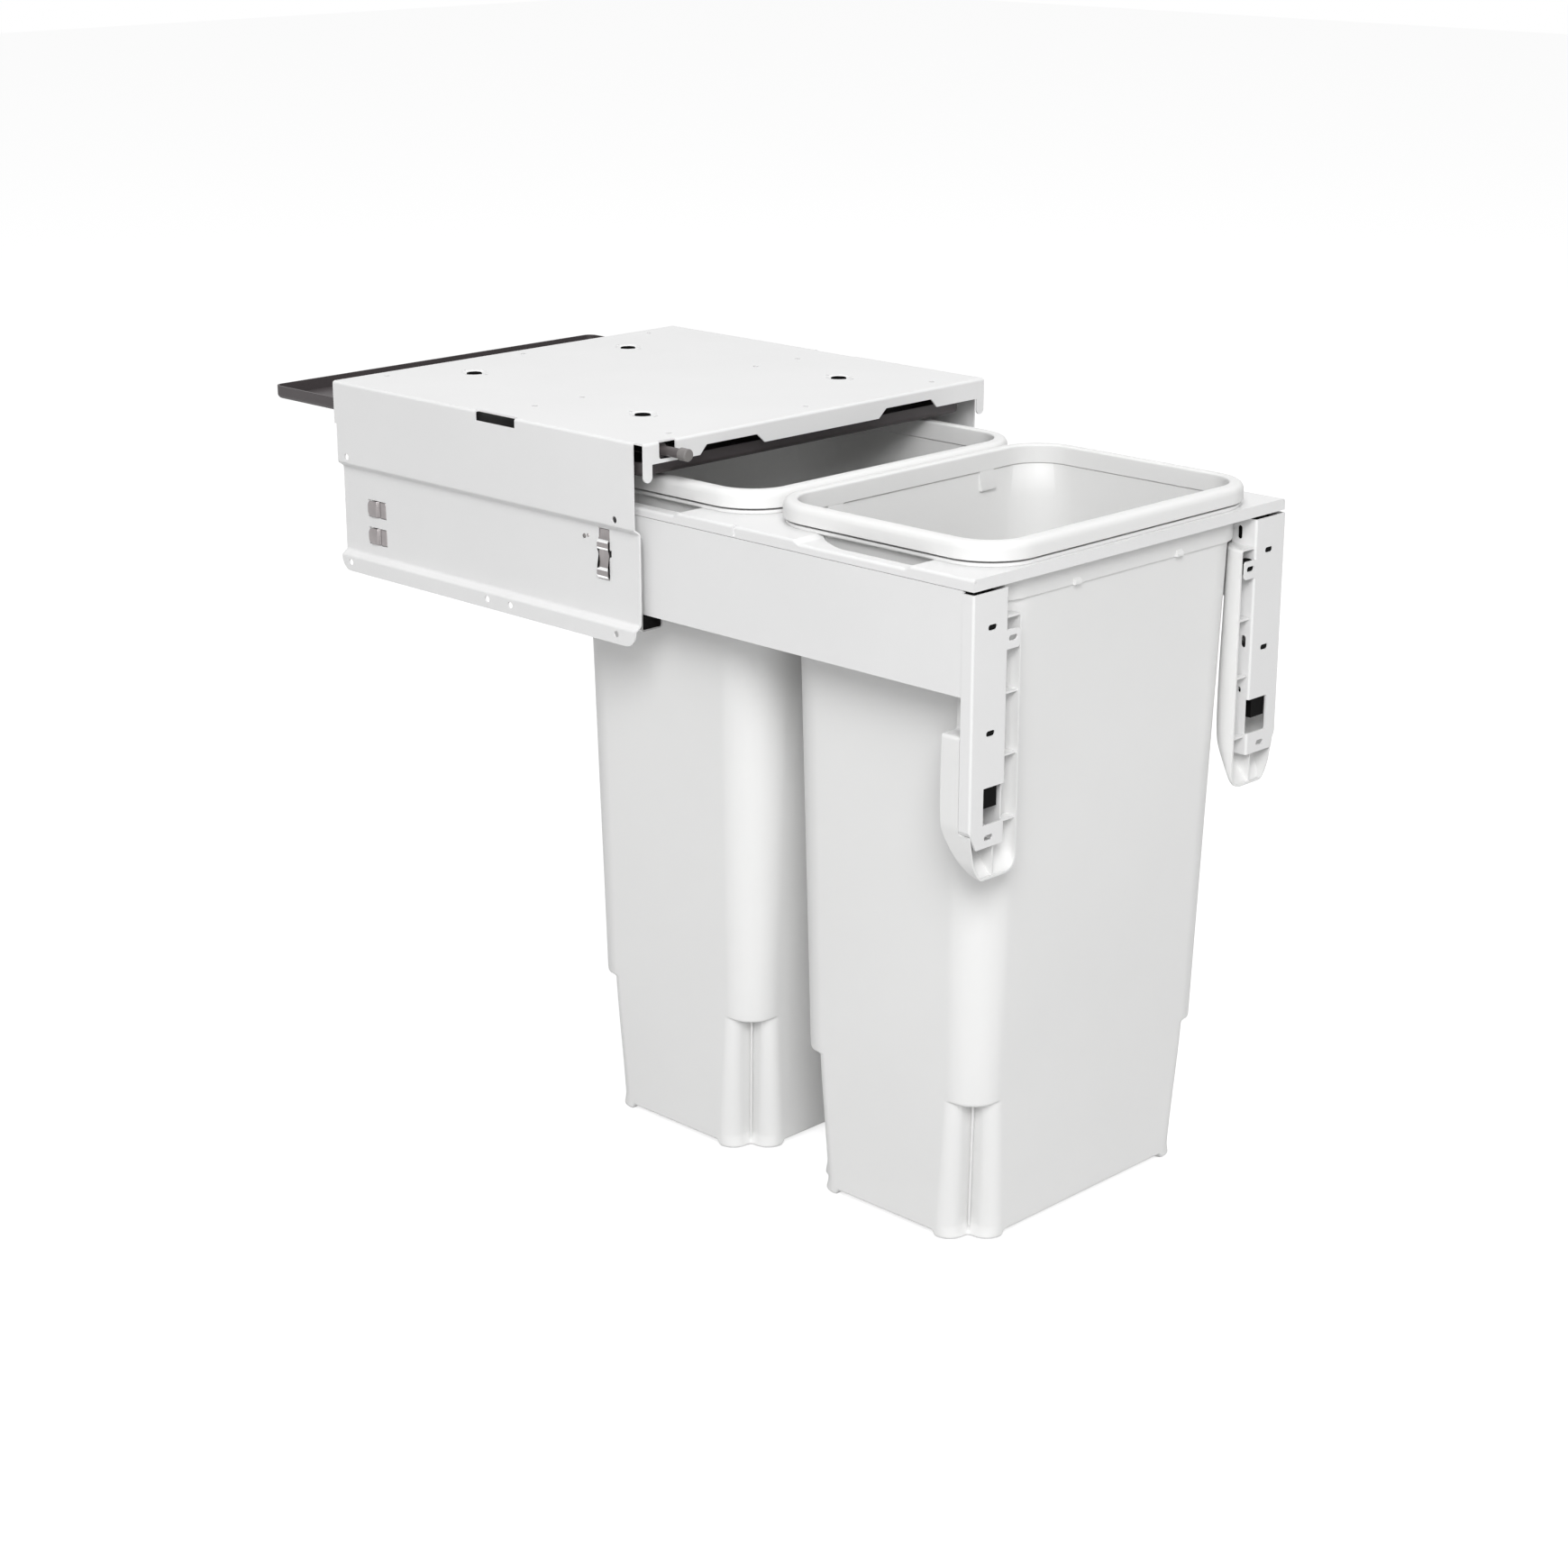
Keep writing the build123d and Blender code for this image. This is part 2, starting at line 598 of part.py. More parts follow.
frame_length = FRAME_Y[1] - FRAME_Y[0]
with BuildPart() as carrier_frame:
    with BuildSketch(front_plane(FRAME_Y[0])):
        sheet_section(
            [
                (-FRAME_HALF, SIDE_LIP),
                (-FRAME_HALF, FRAME_TOP),
                (FRAME_HALF, FRAME_TOP),
                (FRAME_HALF, SIDE_LIP),
            ],
            Side.RIGHT,
        )
    extrude(amount=-frame_length)
    for y in (FRAME_Y[0], FRAME_Y[1] - SHEET):
        span((-FRAME_HALF, FRAME_HALF), (y, y + SHEET), (END_LIP, FRAME_TOP - BEND))
        span((BEND - FRAME_HALF, FRAME_HALF - BEND), (y, y + SHEET), (END_LIP, FRAME_TOP))
    for bucket in BUCKETS:
        for sign in (-1, 1):
            # the sheet is pressed down around a cut-out, sloping down to it and up again
            slopes = [y + bucket for y in DIP_Y]
            heights = (FRAME_TOP, FRAME_TOP - DIP, FRAME_TOP - DIP, FRAME_TOP)
            span(
                (sign * COLLAR[0] / 2, sign * (FRAME_HALF + OVER)),
                (slopes[0], slopes[-1]),
                (SIDE_LIP - OVER, FRAME_TOP + OVER),
                Mode.SUBTRACT,
            )
            sections = [rim_section(y, top, sign) for y, top in zip(slopes, heights)]
            for start, end in zip(sections, sections[1:]):
                loft([start, end], ruled=True)
            corner_x, front_y = sign * FINGER_CUT[0], FINGER_CUT[1] + bucket
            rear = [(sign * x, y + bucket) for x, y in FINGER_CUT_REAR]
            inside_x = sign * (COLLAR[0] / 2 - OVER)
            with BuildSketch(level(FRAME_TOP + OVER)):
                with BuildLine():
                    Polyline((inside_x, rear[-1][1]), (inside_x, front_y), (corner_x, front_y), rear[0])
                    ThreePointArc(*rear)
                    Line(rear[-1], (inside_x, rear[-1][1]))
                make_face()
            extrude(amount=-DIP - 2 * SHEET, mode=Mode.SUBTRACT)
        with BuildSketch(level(FRAME_TOP + OVER)):
            with Locations((0, BUCKET_Y + bucket)):
                RectangleRounded(
                    COLLAR[0] + 2 * FRAME_GAP, COLLAR[1] + 2 * FRAME_GAP, COLLAR[2] + FRAME_GAP
                )
        extrude(amount=END_LIP - FRAME_TOP - 2 * OVER, mode=Mode.SUBTRACT)
    for sign in (-1, 1):
        span(
            (sign * (FRAME_HALF - 2 * SHEET), sign * (FRAME_HALF + OVER)),
            LIP_SLOT_Y,
            (LIP_SLOT_BOTTOM, FRAME_TOP + OVER),
            Mode.SUBTRACT,
        )
save(carrier_frame, "carrier_frame")

plate_in = FRAME_HALF - SHEET  # inner face of the side plate and of the frame's lip
with BuildPart() as side_plate:
    with BuildSketch(front_plane(PLATE_FRONT)):
        outline(
            [
                (PLATE_FOLD_X, FRAME_TOP - SHEET),
                (plate_in - PLATE_CHAMFER, FRAME_TOP - SHEET),
                (plate_in, FRAME_TOP - SHEET - PLATE_CHAMFER),
                (plate_in, PLATE_TOP),
                (FRAME_HALF, PLATE_TOP),
                (FRAME_HALF, PLATE_BOTTOM),
                (plate_in, PLATE_BOTTOM),
                (plate_in, PLATE_TOP - PLATE_LAP),
                (plate_in - SHEET, PLATE_TOP - PLATE_LAP),
                (plate_in - SHEET, FRAME_TOP - 2 * SHEET),
                (PLATE_FOLD_X, FRAME_TOP - 2 * SHEET),
            ]
        )
    extrude(amount=-(FRAME_Y[1] - SHEET - PLATE_FRONT))
    for bucket in BUCKETS:
        span(
            (PLATE_FOLD_X - OVER, plate_in + SHEET / 2),
            (DIP_Y[0] + bucket - PLATE_END_GAP, DIP_Y[-1] + bucket + PLATE_END_GAP),
            (PLATE_TOP, FRAME_TOP + OVER),
            Mode.SUBTRACT,
        )
save_pair(side_plate, "side_plate")

with BuildPart() as rear_crossbar:
    span(
        (SHEET - plate_in, plate_in - SHEET),
        (FRAME_Y[1] - 2 * SHEET, FRAME_Y[1] - SHEET),
        (CROSSBAR_BOTTOM, FRAME_TOP - 2 * SHEET),
    )
save(rear_crossbar, "rear_crossbar")

# ---------------------------------------------------------------- buckets


def body_at(z, inset=0.0):
    """Half width, front, rear and corner radius of the tapered body at height z, moved in by inset."""
    share = (z - COLLAR_BOTTOM) / (BASE - COLLAR_BOTTOM)
    half, front, rear, corner = (a + (b - a) * share for a, b in zip(BODY_TOP, BODY_BASE))
    return half - inset, front + inset, rear - inset, corner - inset


def body_section(z, shift, inset=0.0):
    """Rounded section of the upper body."""
    half, front, rear, corner = body_at(z, inset)
    with BuildSketch(level(z)) as section:
        with Locations((0, (front + rear) / 2 + shift)):
            RectangleRounded(2 * half, rear - front, corner)
    return section.sketch


def recessed_section(z, shift, inset=0.0):
    """Section of the lower body, whose corners are cut back between two round lobes each."""
    half, front, rear, _ = body_at(z, inset)
    middle = (front + rear) / 2 + shift
    depth = (rear - front) / 2
    with BuildSketch(level(z)) as section:
        with Locations((0, middle)):
            Rectangle(2 * half, 2 * depth)
            with GridLocations(2 * half, 2 * depth, 2, 2):
                Rectangle(2 * RECESS, 2 * RECESS, mode=Mode.SUBTRACT)
        valleys = [
            v
            for v in section.vertices()
            if abs(v.X) < half - RECESS / 2 and abs(v.Y - middle) < depth - RECESS / 2
        ]
        fillet(valleys, VALLEY_R + inset)
        lobes = [
            v
            for v in section.vertices()
            if abs(abs(v.X) - half) < NEAR
            and abs(abs(v.Y - middle) - depth + RECESS) < NEAR
            or abs(abs(v.Y - middle) - depth) < NEAR
            and abs(abs(v.X) - half + RECESS) < NEAR
        ]
        fillet(lobes, LOBE_R - inset)
    return section.sketch


def bucket(shift, name):
    """One bucket, moved back by shift from the front one's place."""
    middle = BUCKET_Y + shift
    with BuildPart() as shell:
        loft([body_section(COLLAR_BOTTOM, shift), body_section(RECESS_TOP, shift)], ruled=True)
        loft([recessed_section(RECESS_TOP, shift), recessed_section(BASE, shift)], ruled=True)
        with BuildSketch(level(COLLAR_BOTTOM)):
            with Locations((0, middle)):
                RectangleRounded(*COLLAR)
        extrude(amount=RIM_TOP - COLLAR_BOTTOM)
        with BuildSketch(level(FRAME_TOP)):
            with Locations((0, middle)):
                RectangleRounded(*RIM)
        extrude(amount=RIM_TOP - FRAME_TOP)
        # hollow
        heights = [z + BUCKET_WALL for z in (COLLAR_BOTTOM, RECESS_TOP, BASE)]
        upper = [body_section(z, shift, BUCKET_WALL) for z in heights[:2]]
        lower = [recessed_section(z, shift, BUCKET_WALL) for z in heights[1:]]
        loft(upper, ruled=True, mode=Mode.SUBTRACT)
        loft(lower, ruled=True, mode=Mode.SUBTRACT)
        with BuildSketch(level(COLLAR_BOTTOM + BUCKET_WALL)):
            with Locations((0, middle)):
                RectangleRounded(
                    COLLAR[0] - 2 * COLLAR_WALL, COLLAR[1] - 2 * COLLAR_WALL, COLLAR[2] - COLLAR_WALL
                )
        extrude(amount=RIM_TOP - COLLAR_BOTTOM, mode=Mode.SUBTRACT)
        # diagonal ribs in the recesses, and feet under the corners
        for side_sign in (-1, 1):
            for end_sign in (-1, 1):
                for z in RIB_Z:
                    half, front, rear, _ = body_at(z)
                    end_y = (rear if end_sign > 0 else front) + shift
                    reach = RECESS - VALLEY_R / 2
                    spot = (side_sign * (half - reach), end_y - end_sign * reach)
                    with BuildSketch(level(z)):
                        with Locations(Location(spot, 45 * side_sign * end_sign)):
                            Rectangle(RIB_LENGTH, RIB_THICK)
                loft(ruled=True)
                half, front, rear, _ = body_at(BASE)
                end_y = (rear if end_sign > 0 else front) + shift
                foot_x = (side_sign * (half - RECESS), side_sign * (half - FOOT_REACH))
                foot_y = (end_y - end_sign * RECESS, end_y - end_sign * FOOT_REACH)
                across_y = [end_y - end_sign * d for d in (FOOT_INSET, FOOT_INSET + FOOT_WALL)]
                along_x = [side_sign * (half - d) for d in (FOOT_INSET, FOOT_INSET + FOOT_WALL)]
                inner_y = [end_y - end_sign * d for d in (RECESS, RECESS + FOOT_WALL)]
                inner_x = [side_sign * (half - d) for d in (RECESS, RECESS + FOOT_WALL)]
                foot_z = (FOOT_Z, BASE + FOOT_LAP)
                span(foot_x, across_y, foot_z)
                span(along_x, foot_y, foot_z)
                span(inner_x, (across_y[0], inner_y[1]), foot_z)
                span((along_x[0], inner_x[1]), inner_y, foot_z)
        for side_sign in (-1, 1):
            with BuildSketch(side_plane(side_sign * CATCH_X - CATCH_WIDTH / 2)):
                front = middle - COLLAR[1] / 2
                outline(
                    [
                        (front + OVER, CATCH_Z[0]),
                        (front, CATCH_Z[0]),
                        (front - CATCH_PROUD, CATCH_Z[1]),
                        (front + OVER, CATCH_Z[1]),
                    ]
                )
            extrude(amount=CATCH_WIDTH)
    save(shell, name)


bucket(0, "bucket_front")
bucket(PITCH, "bucket_rear")


def liner_ring(shift, name):
    """One liner ring: a rounded frame, hollow from below, with four catch tabs."""
    middle = BUCKET_Y + shift
    with BuildPart() as ring:
        with BuildSketch(level(RING_Z[0])):
            with Locations((0, middle)):
                RectangleRounded(*RING)
                RectangleRounded(*RING_OPENING, mode=Mode.SUBTRACT)
        extrude(amount=RING_Z[1] - RING_Z[0])
        fillet(ring.faces().sort_by(Axis.Z)[-1].edges(), RING_EDGE)
        with BuildSketch(level(RING_Z[0])):
            with Locations((0, middle)):
                RectangleRounded(
                    RING[0] - 2 * RING_WALL, RING[1] - 2 * RING_WALL, RING[2] - RING_WALL
                )
                RectangleRounded(
                    RING_OPENING[0] + 2 * RING_WALL,
                    RING_OPENING[1] + 2 * RING_WALL,
                    RING_OPENING[2] + RING_WALL,
                    mode=Mode.SUBTRACT,
                )
        extrude(amount=RING_Z[1] - RING_Z[0] - RING_WALL, mode=Mode.SUBTRACT)
        for side_sign in (-1, 1):
            for end_sign in (-1, 1):
                tab_face = middle + end_sign * RING_OPENING[1] / 2
                span(
                    (side_sign * TAB_X - TAB[0] / 2, side_sign * TAB_X + TAB[0] / 2),
                    (tab_face, tab_face + end_sign * TAB[1]),
                    (RING_Z[0] - TAB[2], RING_Z[0] + OVER),
                )
    save(ring, name)


liner_ring(0, "liner_ring_front")
liner_ring(PITCH, "liner_ring_rear")

# ---------------------------------------------------------------- door brackets

with BuildPart() as door_bracket:
    with BuildSketch(level(DOOR_Z[0])):
        sheet_section(
            [
                (DOOR_X[0], DOOR_FLANGE_REAR),
                (DOOR_X[0], DOOR_Y),
                (DOOR_X[1], DOOR_Y),
                (DOOR_X[1], DOOR_SIDE_REAR),
            ],
            Side.LEFT,
            radius=DOOR_BEND,
        )
    extrude(amount=DOOR_Z[1] - DOOR_Z[0])
    with BuildSketch(front_plane(DOOR_Y)):
        ear_length = DOOR_X[0] + 2 * DOOR_BEND - EAR[0]
        with Locations((EAR[0] + ear_length / 2, (EAR[1] + EAR[2]) / 2)):
            RectangleRounded(ear_length, EAR[2] - EAR[1], EAR[3])
    extrude(amount=-SHEET)
    with BuildSketch(front_plane(DOOR_Y - OVER)):
        outline(
            [
                (DOOR_X[1], DOOR_Z[0] + DOOR_CHAMFER[1]),
                (DOOR_X[1] + OVER, DOOR_Z[0] + DOOR_CHAMFER[1]),
                (DOOR_X[1] + OVER, DOOR_Z[0] - OVER),
                (DOOR_X[1] - DOOR_CHAMFER[0], DOOR_Z[0] - OVER),
                (DOOR_X[1] - DOOR_CHAMFER[0], DOOR_Z[0]),
            ]
        )
        with Locations(*[(DOOR_SLOTS_X, z) for z in DOOR_SLOTS_Z], EAR_SLOT):
            SlotOverall(*SLOT)
    extrude(amount=-(DOOR_SIDE_REAR - DOOR_Y + 2 * OVER), mode=Mode.SUBTRACT)
    window_y = (DOOR_Y - OVER, DOOR_BACK + DOOR_BEND)
    span((DOOR_X[0] - OVER, WINDOW[0]), window_y, WINDOW[1:], Mode.SUBTRACT)
    with BuildSketch(side_plane(DOOR_X[0] - OVER)):
        for y, z, length, width in FLANGE_SLOTS:
            with Locations(Location((y, z), 90)):
                SlotOverall(length, width)
        outline(
            [
                (DOOR_FLANGE_REAR + OVER, DOOR_Z[0] + FLANGE_CHAMFER[1]),
                (DOOR_FLANGE_REAR - FLANGE_CHAMFER[0], DOOR_Z[0] - OVER),
                (DOOR_FLANGE_REAR + OVER, DOOR_Z[0] - OVER),
            ]
        )
    extrude(amount=SHEET + 2 * OVER, mode=Mode.SUBTRACT)
save_pair(door_bracket, "door_bracket")

with BuildPart() as bracket_arm:
    with BuildSketch(level(ARM_Z[0])):
        sheet_section(
            [(ARM_IN, DOOR_BACK), (plate_in, DOOR_BACK), (plate_in, ARM_REAR)],
            Side.LEFT,
            radius=DOOR_BEND,
        )
    extrude(amount=ARM_Z[1] - ARM_Z[0])
save_pair(bracket_arm, "bracket_arm")


def cover_form(inset, front):
    """Boat-shaped block of the bracket cover, moved inwards by inset, with its front at the given y."""
    inner, narrow, wide = COVER_X[0] + inset, COVER_X[1] - inset, COVER_X[2] - inset
    bottom = COVER_BOTTOM + inset
    corner = COVER_BEND - inset
    foot = [(max(inner, min(wide, x)), z + inset) for x, z in COVER_FOOT]
    heel = [(y - inset, z + inset) for y, z in COVER_HEEL]
    sections = []
    for z, rear in ((COVER_TOP, COVER_REAR[0] - inset), (bottom, COVER_REAR[1] - inset)):
        with BuildSketch(level(z)) as section:
            with BuildLine() as edge:
                Line((inner, front), (inner, rear - corner))
                RadiusArc((inner, rear - corner), (inner + corner, rear), corner)
                Polyline((inner + corner, rear), (wide, rear), (wide, front), (inner, front))
            make_face(edge.edges())
        sections.append(section.sketch)
    with BuildPart(mode=Mode.PRIVATE) as form:
        loft(sections, ruled=True)
        # front view: rounded foot, wide only below the wing's top
        with BuildSketch(front_plane(front)):
            outline(
                [
                    (inner, COVER_TOP),
                    (narrow, COVER_TOP),
                    (narrow, WING_TOP - inset),
                    (wide, WING_TOP - inset),
                    *foot,
                ]
            )
        extrude(amount=front - COVER_REAR[1], mode=Mode.INTERSECT)
        # side view: the rear curves forward to the foot
        with BuildSketch(side_plane(inner)):
            outline([(front, COVER_TOP), (COVER_REAR[1], COVER_TOP), *heel, (front, bottom)])
        extrude(amount=wide - inner, mode=Mode.INTERSECT)
    return form.part


with BuildPart() as bracket_cover:
    add(cover_form(0, DOOR_BACK))
    add(cover_form(COVER_WALL, DOOR_BACK - OVER), mode=Mode.SUBTRACT)
    # room for the bracket's two flanges and the adjuster's strip
    span(
        (DOOR_X[0] - COVER_GAP, DOOR_X[0] + SHEET + COVER_GAP),
        (DOOR_Y, DOOR_FLANGE_REAR + COVER_GAP),
        (COVER_TOP - 2 * COVER_WALL, COVER_TOP + OVER),
        Mode.SUBTRACT,
    )
    span(
        (DOOR_X[1] - SHEET - COVER_GAP, DOOR_X[1] + OVER),
        (DOOR_Y, DOOR_SIDE_REAR + COVER_GAP),
        (DOOR_Z[0] + DOOR_CHAMFER[1] - 2 * SHEET - COVER_GAP, WING_TOP + OVER),
        Mode.SUBTRACT,
    )
    span(
        (COVER_X[1] - COVER_WALL - COVER_GAP, ADJUSTER_X[1] + COVER_GAP),
        (DOOR_Y, ADJUSTER_STRIP[0] + COVER_GAP),
        (WING_TOP - COVER_WALL - COVER_GAP, COVER_TOP + OVER),
        Mode.SUBTRACT,
    )
    for z in COVER_RIBS_Z:
        span(
            (COVER_X[0] + COVER_WALL / 2, DOOR_X[0] - OVER),
            COVER_RIBS_Y,
            (z - COVER_WALL / 2, z + COVER_WALL / 2),
        )
save_pair(bracket_cover, "bracket_cover")

with BuildPart() as adjuster:
    span(ADJUSTER_X, (ADJUSTER_FRONT, COVER_REAR[0] - COVER_WALL), ADJUSTER_Z)
    chamfer(adjuster.edges().filter_by(Axis.X).group_by(Axis.Y)[0], OVER)
    span(ADJUSTER_X, (ADJUSTER_FRONT, ADJUSTER_STRIP[0]), (ADJUSTER_Z[0], ADJUSTER_STRIP[1]))
    span(*ADJUSTER_HEAD)
save_pair(adjuster, "adjuster")
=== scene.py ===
"""Looks of a twin pull-out waste bin unit for a kitchen cabinet.

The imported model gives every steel, slide and small plastic part. This script gives them their finishes
and makes the moulded parts, springs and rounded trim as computed surfaces around it. Lengths are metres,
+X is to the right seen from the kitchen, +Y to the rear of the cabinet and +Z up.
"""

import json
import math

import bpy
import numpy as np
from bpy.props import FloatProperty, FloatVectorProperty, IntProperty, PointerProperty
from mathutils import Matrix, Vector


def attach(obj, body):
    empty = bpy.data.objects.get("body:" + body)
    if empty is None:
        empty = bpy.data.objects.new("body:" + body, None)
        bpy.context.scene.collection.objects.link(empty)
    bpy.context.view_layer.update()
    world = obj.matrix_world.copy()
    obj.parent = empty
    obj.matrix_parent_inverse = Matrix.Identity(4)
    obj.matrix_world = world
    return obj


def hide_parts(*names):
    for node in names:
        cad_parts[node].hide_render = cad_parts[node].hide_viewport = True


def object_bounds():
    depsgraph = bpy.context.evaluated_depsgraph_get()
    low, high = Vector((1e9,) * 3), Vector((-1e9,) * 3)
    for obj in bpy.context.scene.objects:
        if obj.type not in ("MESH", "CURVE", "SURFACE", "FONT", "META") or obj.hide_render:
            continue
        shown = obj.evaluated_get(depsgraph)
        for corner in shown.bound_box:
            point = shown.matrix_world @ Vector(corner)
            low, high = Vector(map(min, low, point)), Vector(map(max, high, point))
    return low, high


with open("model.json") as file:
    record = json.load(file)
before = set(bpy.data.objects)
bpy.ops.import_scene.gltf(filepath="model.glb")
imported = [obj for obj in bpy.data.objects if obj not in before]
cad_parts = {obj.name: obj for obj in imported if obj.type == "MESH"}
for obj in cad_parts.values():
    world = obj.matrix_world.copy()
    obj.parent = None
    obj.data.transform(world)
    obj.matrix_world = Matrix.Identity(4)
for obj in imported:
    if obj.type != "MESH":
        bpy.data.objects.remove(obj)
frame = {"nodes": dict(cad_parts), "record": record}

bl_info = {
    "name": "Pull-out waste bin unit",
    "version": (1, 0, 0),
    "blender": (4, 5, 0),
    "location": "View3D > Sidebar > Bin unit",
    "description": "Dresses the packed model of a twin pull-out waste bin unit",
    "category": "Object",
}

MM = 0.001
CAD_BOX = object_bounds()
PLACES = (("front", 0.0), ("rear", 252.0))  # buckets, and how far back from the front one in mm
QUARTER = math.pi / 2
MOST_OF_SIDE = 0.49  # of a short side, to which the rounding of either of its corners may reach


# ---------------------------------------------------------------- sizes and colours

COLOUR = {"subtype": "COLOR", "size": 3, "min": 0.0, "max": 1.0}


class FinishSettings(bpy.types.PropertyGroup):
    """Colours of the unit's materials."""

    steel: FloatVectorProperty(
        name="Coated steel",
        description="Powder coat of the folded sheets",
        **COLOUR,
        default=(0.80, 0.80, 0.80),
    )
    plastic: FloatVectorProperty(
        name="White plastic",
        description="Buckets, rings and bracket covers",
        **COLOUR,
        default=(0.80, 0.80, 0.795),
    )
    lid: FloatVectorProperty(
        name="Lid plastic",
        description="Tray that covers the buckets when the unit is closed",
        **COLOUR,
        default=(0.055, 0.047, 0.049),
    )
    zinc: FloatVectorProperty(
        name="Zinc",
        description="Spring clips, slide hooks and fasteners",
        **COLOUR,
        default=(0.31, 0.29, 0.29),
    )
    # Painted highlight: a near-white copy of the zinc, laid over the clips' crests where the lamps give the
    # metal no highlight of its own.
    crest_highlight: FloatVectorProperty(
        name="Crest highlight",
        description="Crests of the spring clips, painted as highlights",
        **COLOUR,
        default=(0.95, 0.95, 0.95),
    )
    black: FloatVectorProperty(
        name="Black plastic",
        description="Adjusters, end caps and bushes",
        **COLOUR,
        default=(0.006, 0.006, 0.006),
    )
    slide: FloatVectorProperty(
        name="Slide steel",
        description="Galvanised profiles, cages and rivets of the slides",
        **COLOUR,
        default=(0.55, 0.55, 0.55),
    )
    damper: FloatVectorProperty(
        name="Damper cap",
        description="Front end of the door damper, and the screws beside the clips",
        **COLOUR,
        default=(0.19, 0.18, 0.175),
    )
    damper_body: FloatVectorProperty(
        name="Damper body",
        description="Tube and clamp of the door damper",
        **COLOUR,
        default=(0.085, 0.075, 0.075),
    )


class BucketSettings(bpy.types.PropertyGroup):
    """Sizes of the buckets, apart from their place, which the model gives."""

    wall: FloatProperty(
        name="Wall",
        description="Thickness of a bucket's wall",
        unit="LENGTH",
        default=2.0 * MM,
    )
    recess: FloatProperty(
        name="Corner recess",
        description="Side of the square that is cut from each lower corner",
        unit="LENGTH",
        default=22.0 * MM,
    )
    lobe: FloatProperty(
        name="Lobe radius",
        description="Radius of the two round lobes beside a recess",
        unit="LENGTH",
        default=12.0 * MM,
    )
    valley: FloatProperty(
        name="Valley radius",
        description="Radius of the recess at its inner edge",
        unit="LENGTH",
        default=2.0 * MM,
    )
    steps: IntProperty(
        name="Corner steps",
        description="Points along each corner",
        default=56,
        min=12,
    )


class BinUnitSettings(bpy.types.PropertyGroup):
    """Everything that a user may change."""

    finish: PointerProperty(name="Finish", description="Colours", type=FinishSettings)
    bucket: PointerProperty(name="Bucket", description="Bucket sizes", type=BucketSettings)


# ---------------------------------------------------------------- materials

TINT_BAND = (0.3, 0.7)  # of the mottling noise, from the darkest tint to the lightest
GLOSS_SHARE = 6.0  # the gloss varies over this share of the mottling's size
BUMP_SHARE = 6.0  # and the bumps are this share of their spacing deep


def surface_material(
    name, colour, roughness, metallic=0.0, mottle=0.03, mottle_size=0.12,
    grain=0.1, grain_size=0.0012, rough_spread=0.06, specular=0.5,
):
    """A finish with slow colour mottling, fine bumps and uneven gloss.

    mottle is the share by which the colour varies over mottle_size metres, grain the strength of bumps
    about grain_size metres apart, and rough_spread the width of the roughness band.
    """
    material = bpy.data.materials.new(name)
    material.use_nodes = True
    nodes, links = material.node_tree.nodes, material.node_tree.links
    shader = nodes["Principled BSDF"]
    place = nodes.new("ShaderNodeTexCoord")

    def noise(size, detail):
        texture = nodes.new("ShaderNodeTexNoise")
        texture.inputs["Scale"].default_value = 1.0 / size
        texture.inputs["Detail"].default_value = detail
        links.new(place.outputs["Object"], texture.inputs["Vector"])
        return texture

    slow = noise(mottle_size, 3.0)
    tint = nodes.new("ShaderNodeValToRGB")
    darker = [c * (1.0 - mottle) for c in colour]
    lighter = [min(1.0, c * (1.0 + mottle)) for c in colour]
    for element, position, shade in zip(tint.color_ramp.elements, TINT_BAND, (darker, lighter)):
        element.position = position
        element.color = (*shade, 1.0)
    links.new(slow.outputs["Fac"], tint.inputs["Fac"])
    links.new(tint.outputs["Color"], shader.inputs["Base Color"])

    gloss = noise(mottle_size / GLOSS_SHARE, 2.0)
    band = nodes.new("ShaderNodeMapRange")
    band.inputs["To Min"].default_value = roughness - rough_spread / 2
    band.inputs["To Max"].default_value = roughness + rough_spread / 2
    links.new(gloss.outputs["Fac"], band.inputs["Value"])
    links.new(band.outputs["Result"], shader.inputs["Roughness"])

    fine = noise(grain_size, 2.0)
    bump = nodes.new("ShaderNodeBump")
    bump.inputs["Strength"].default_value = grain
    bump.inputs["Distance"].default_value = grain_size / BUMP_SHARE
    links.new(fine.outputs["Fac"], bump.inputs["Height"])
    links.new(bump.outputs["Normal"], shader.inputs["Normal"])

    shader.inputs["Metallic"].default_value = metallic
    shader.inputs["Specular IOR Level"].default_value = specular
    return material


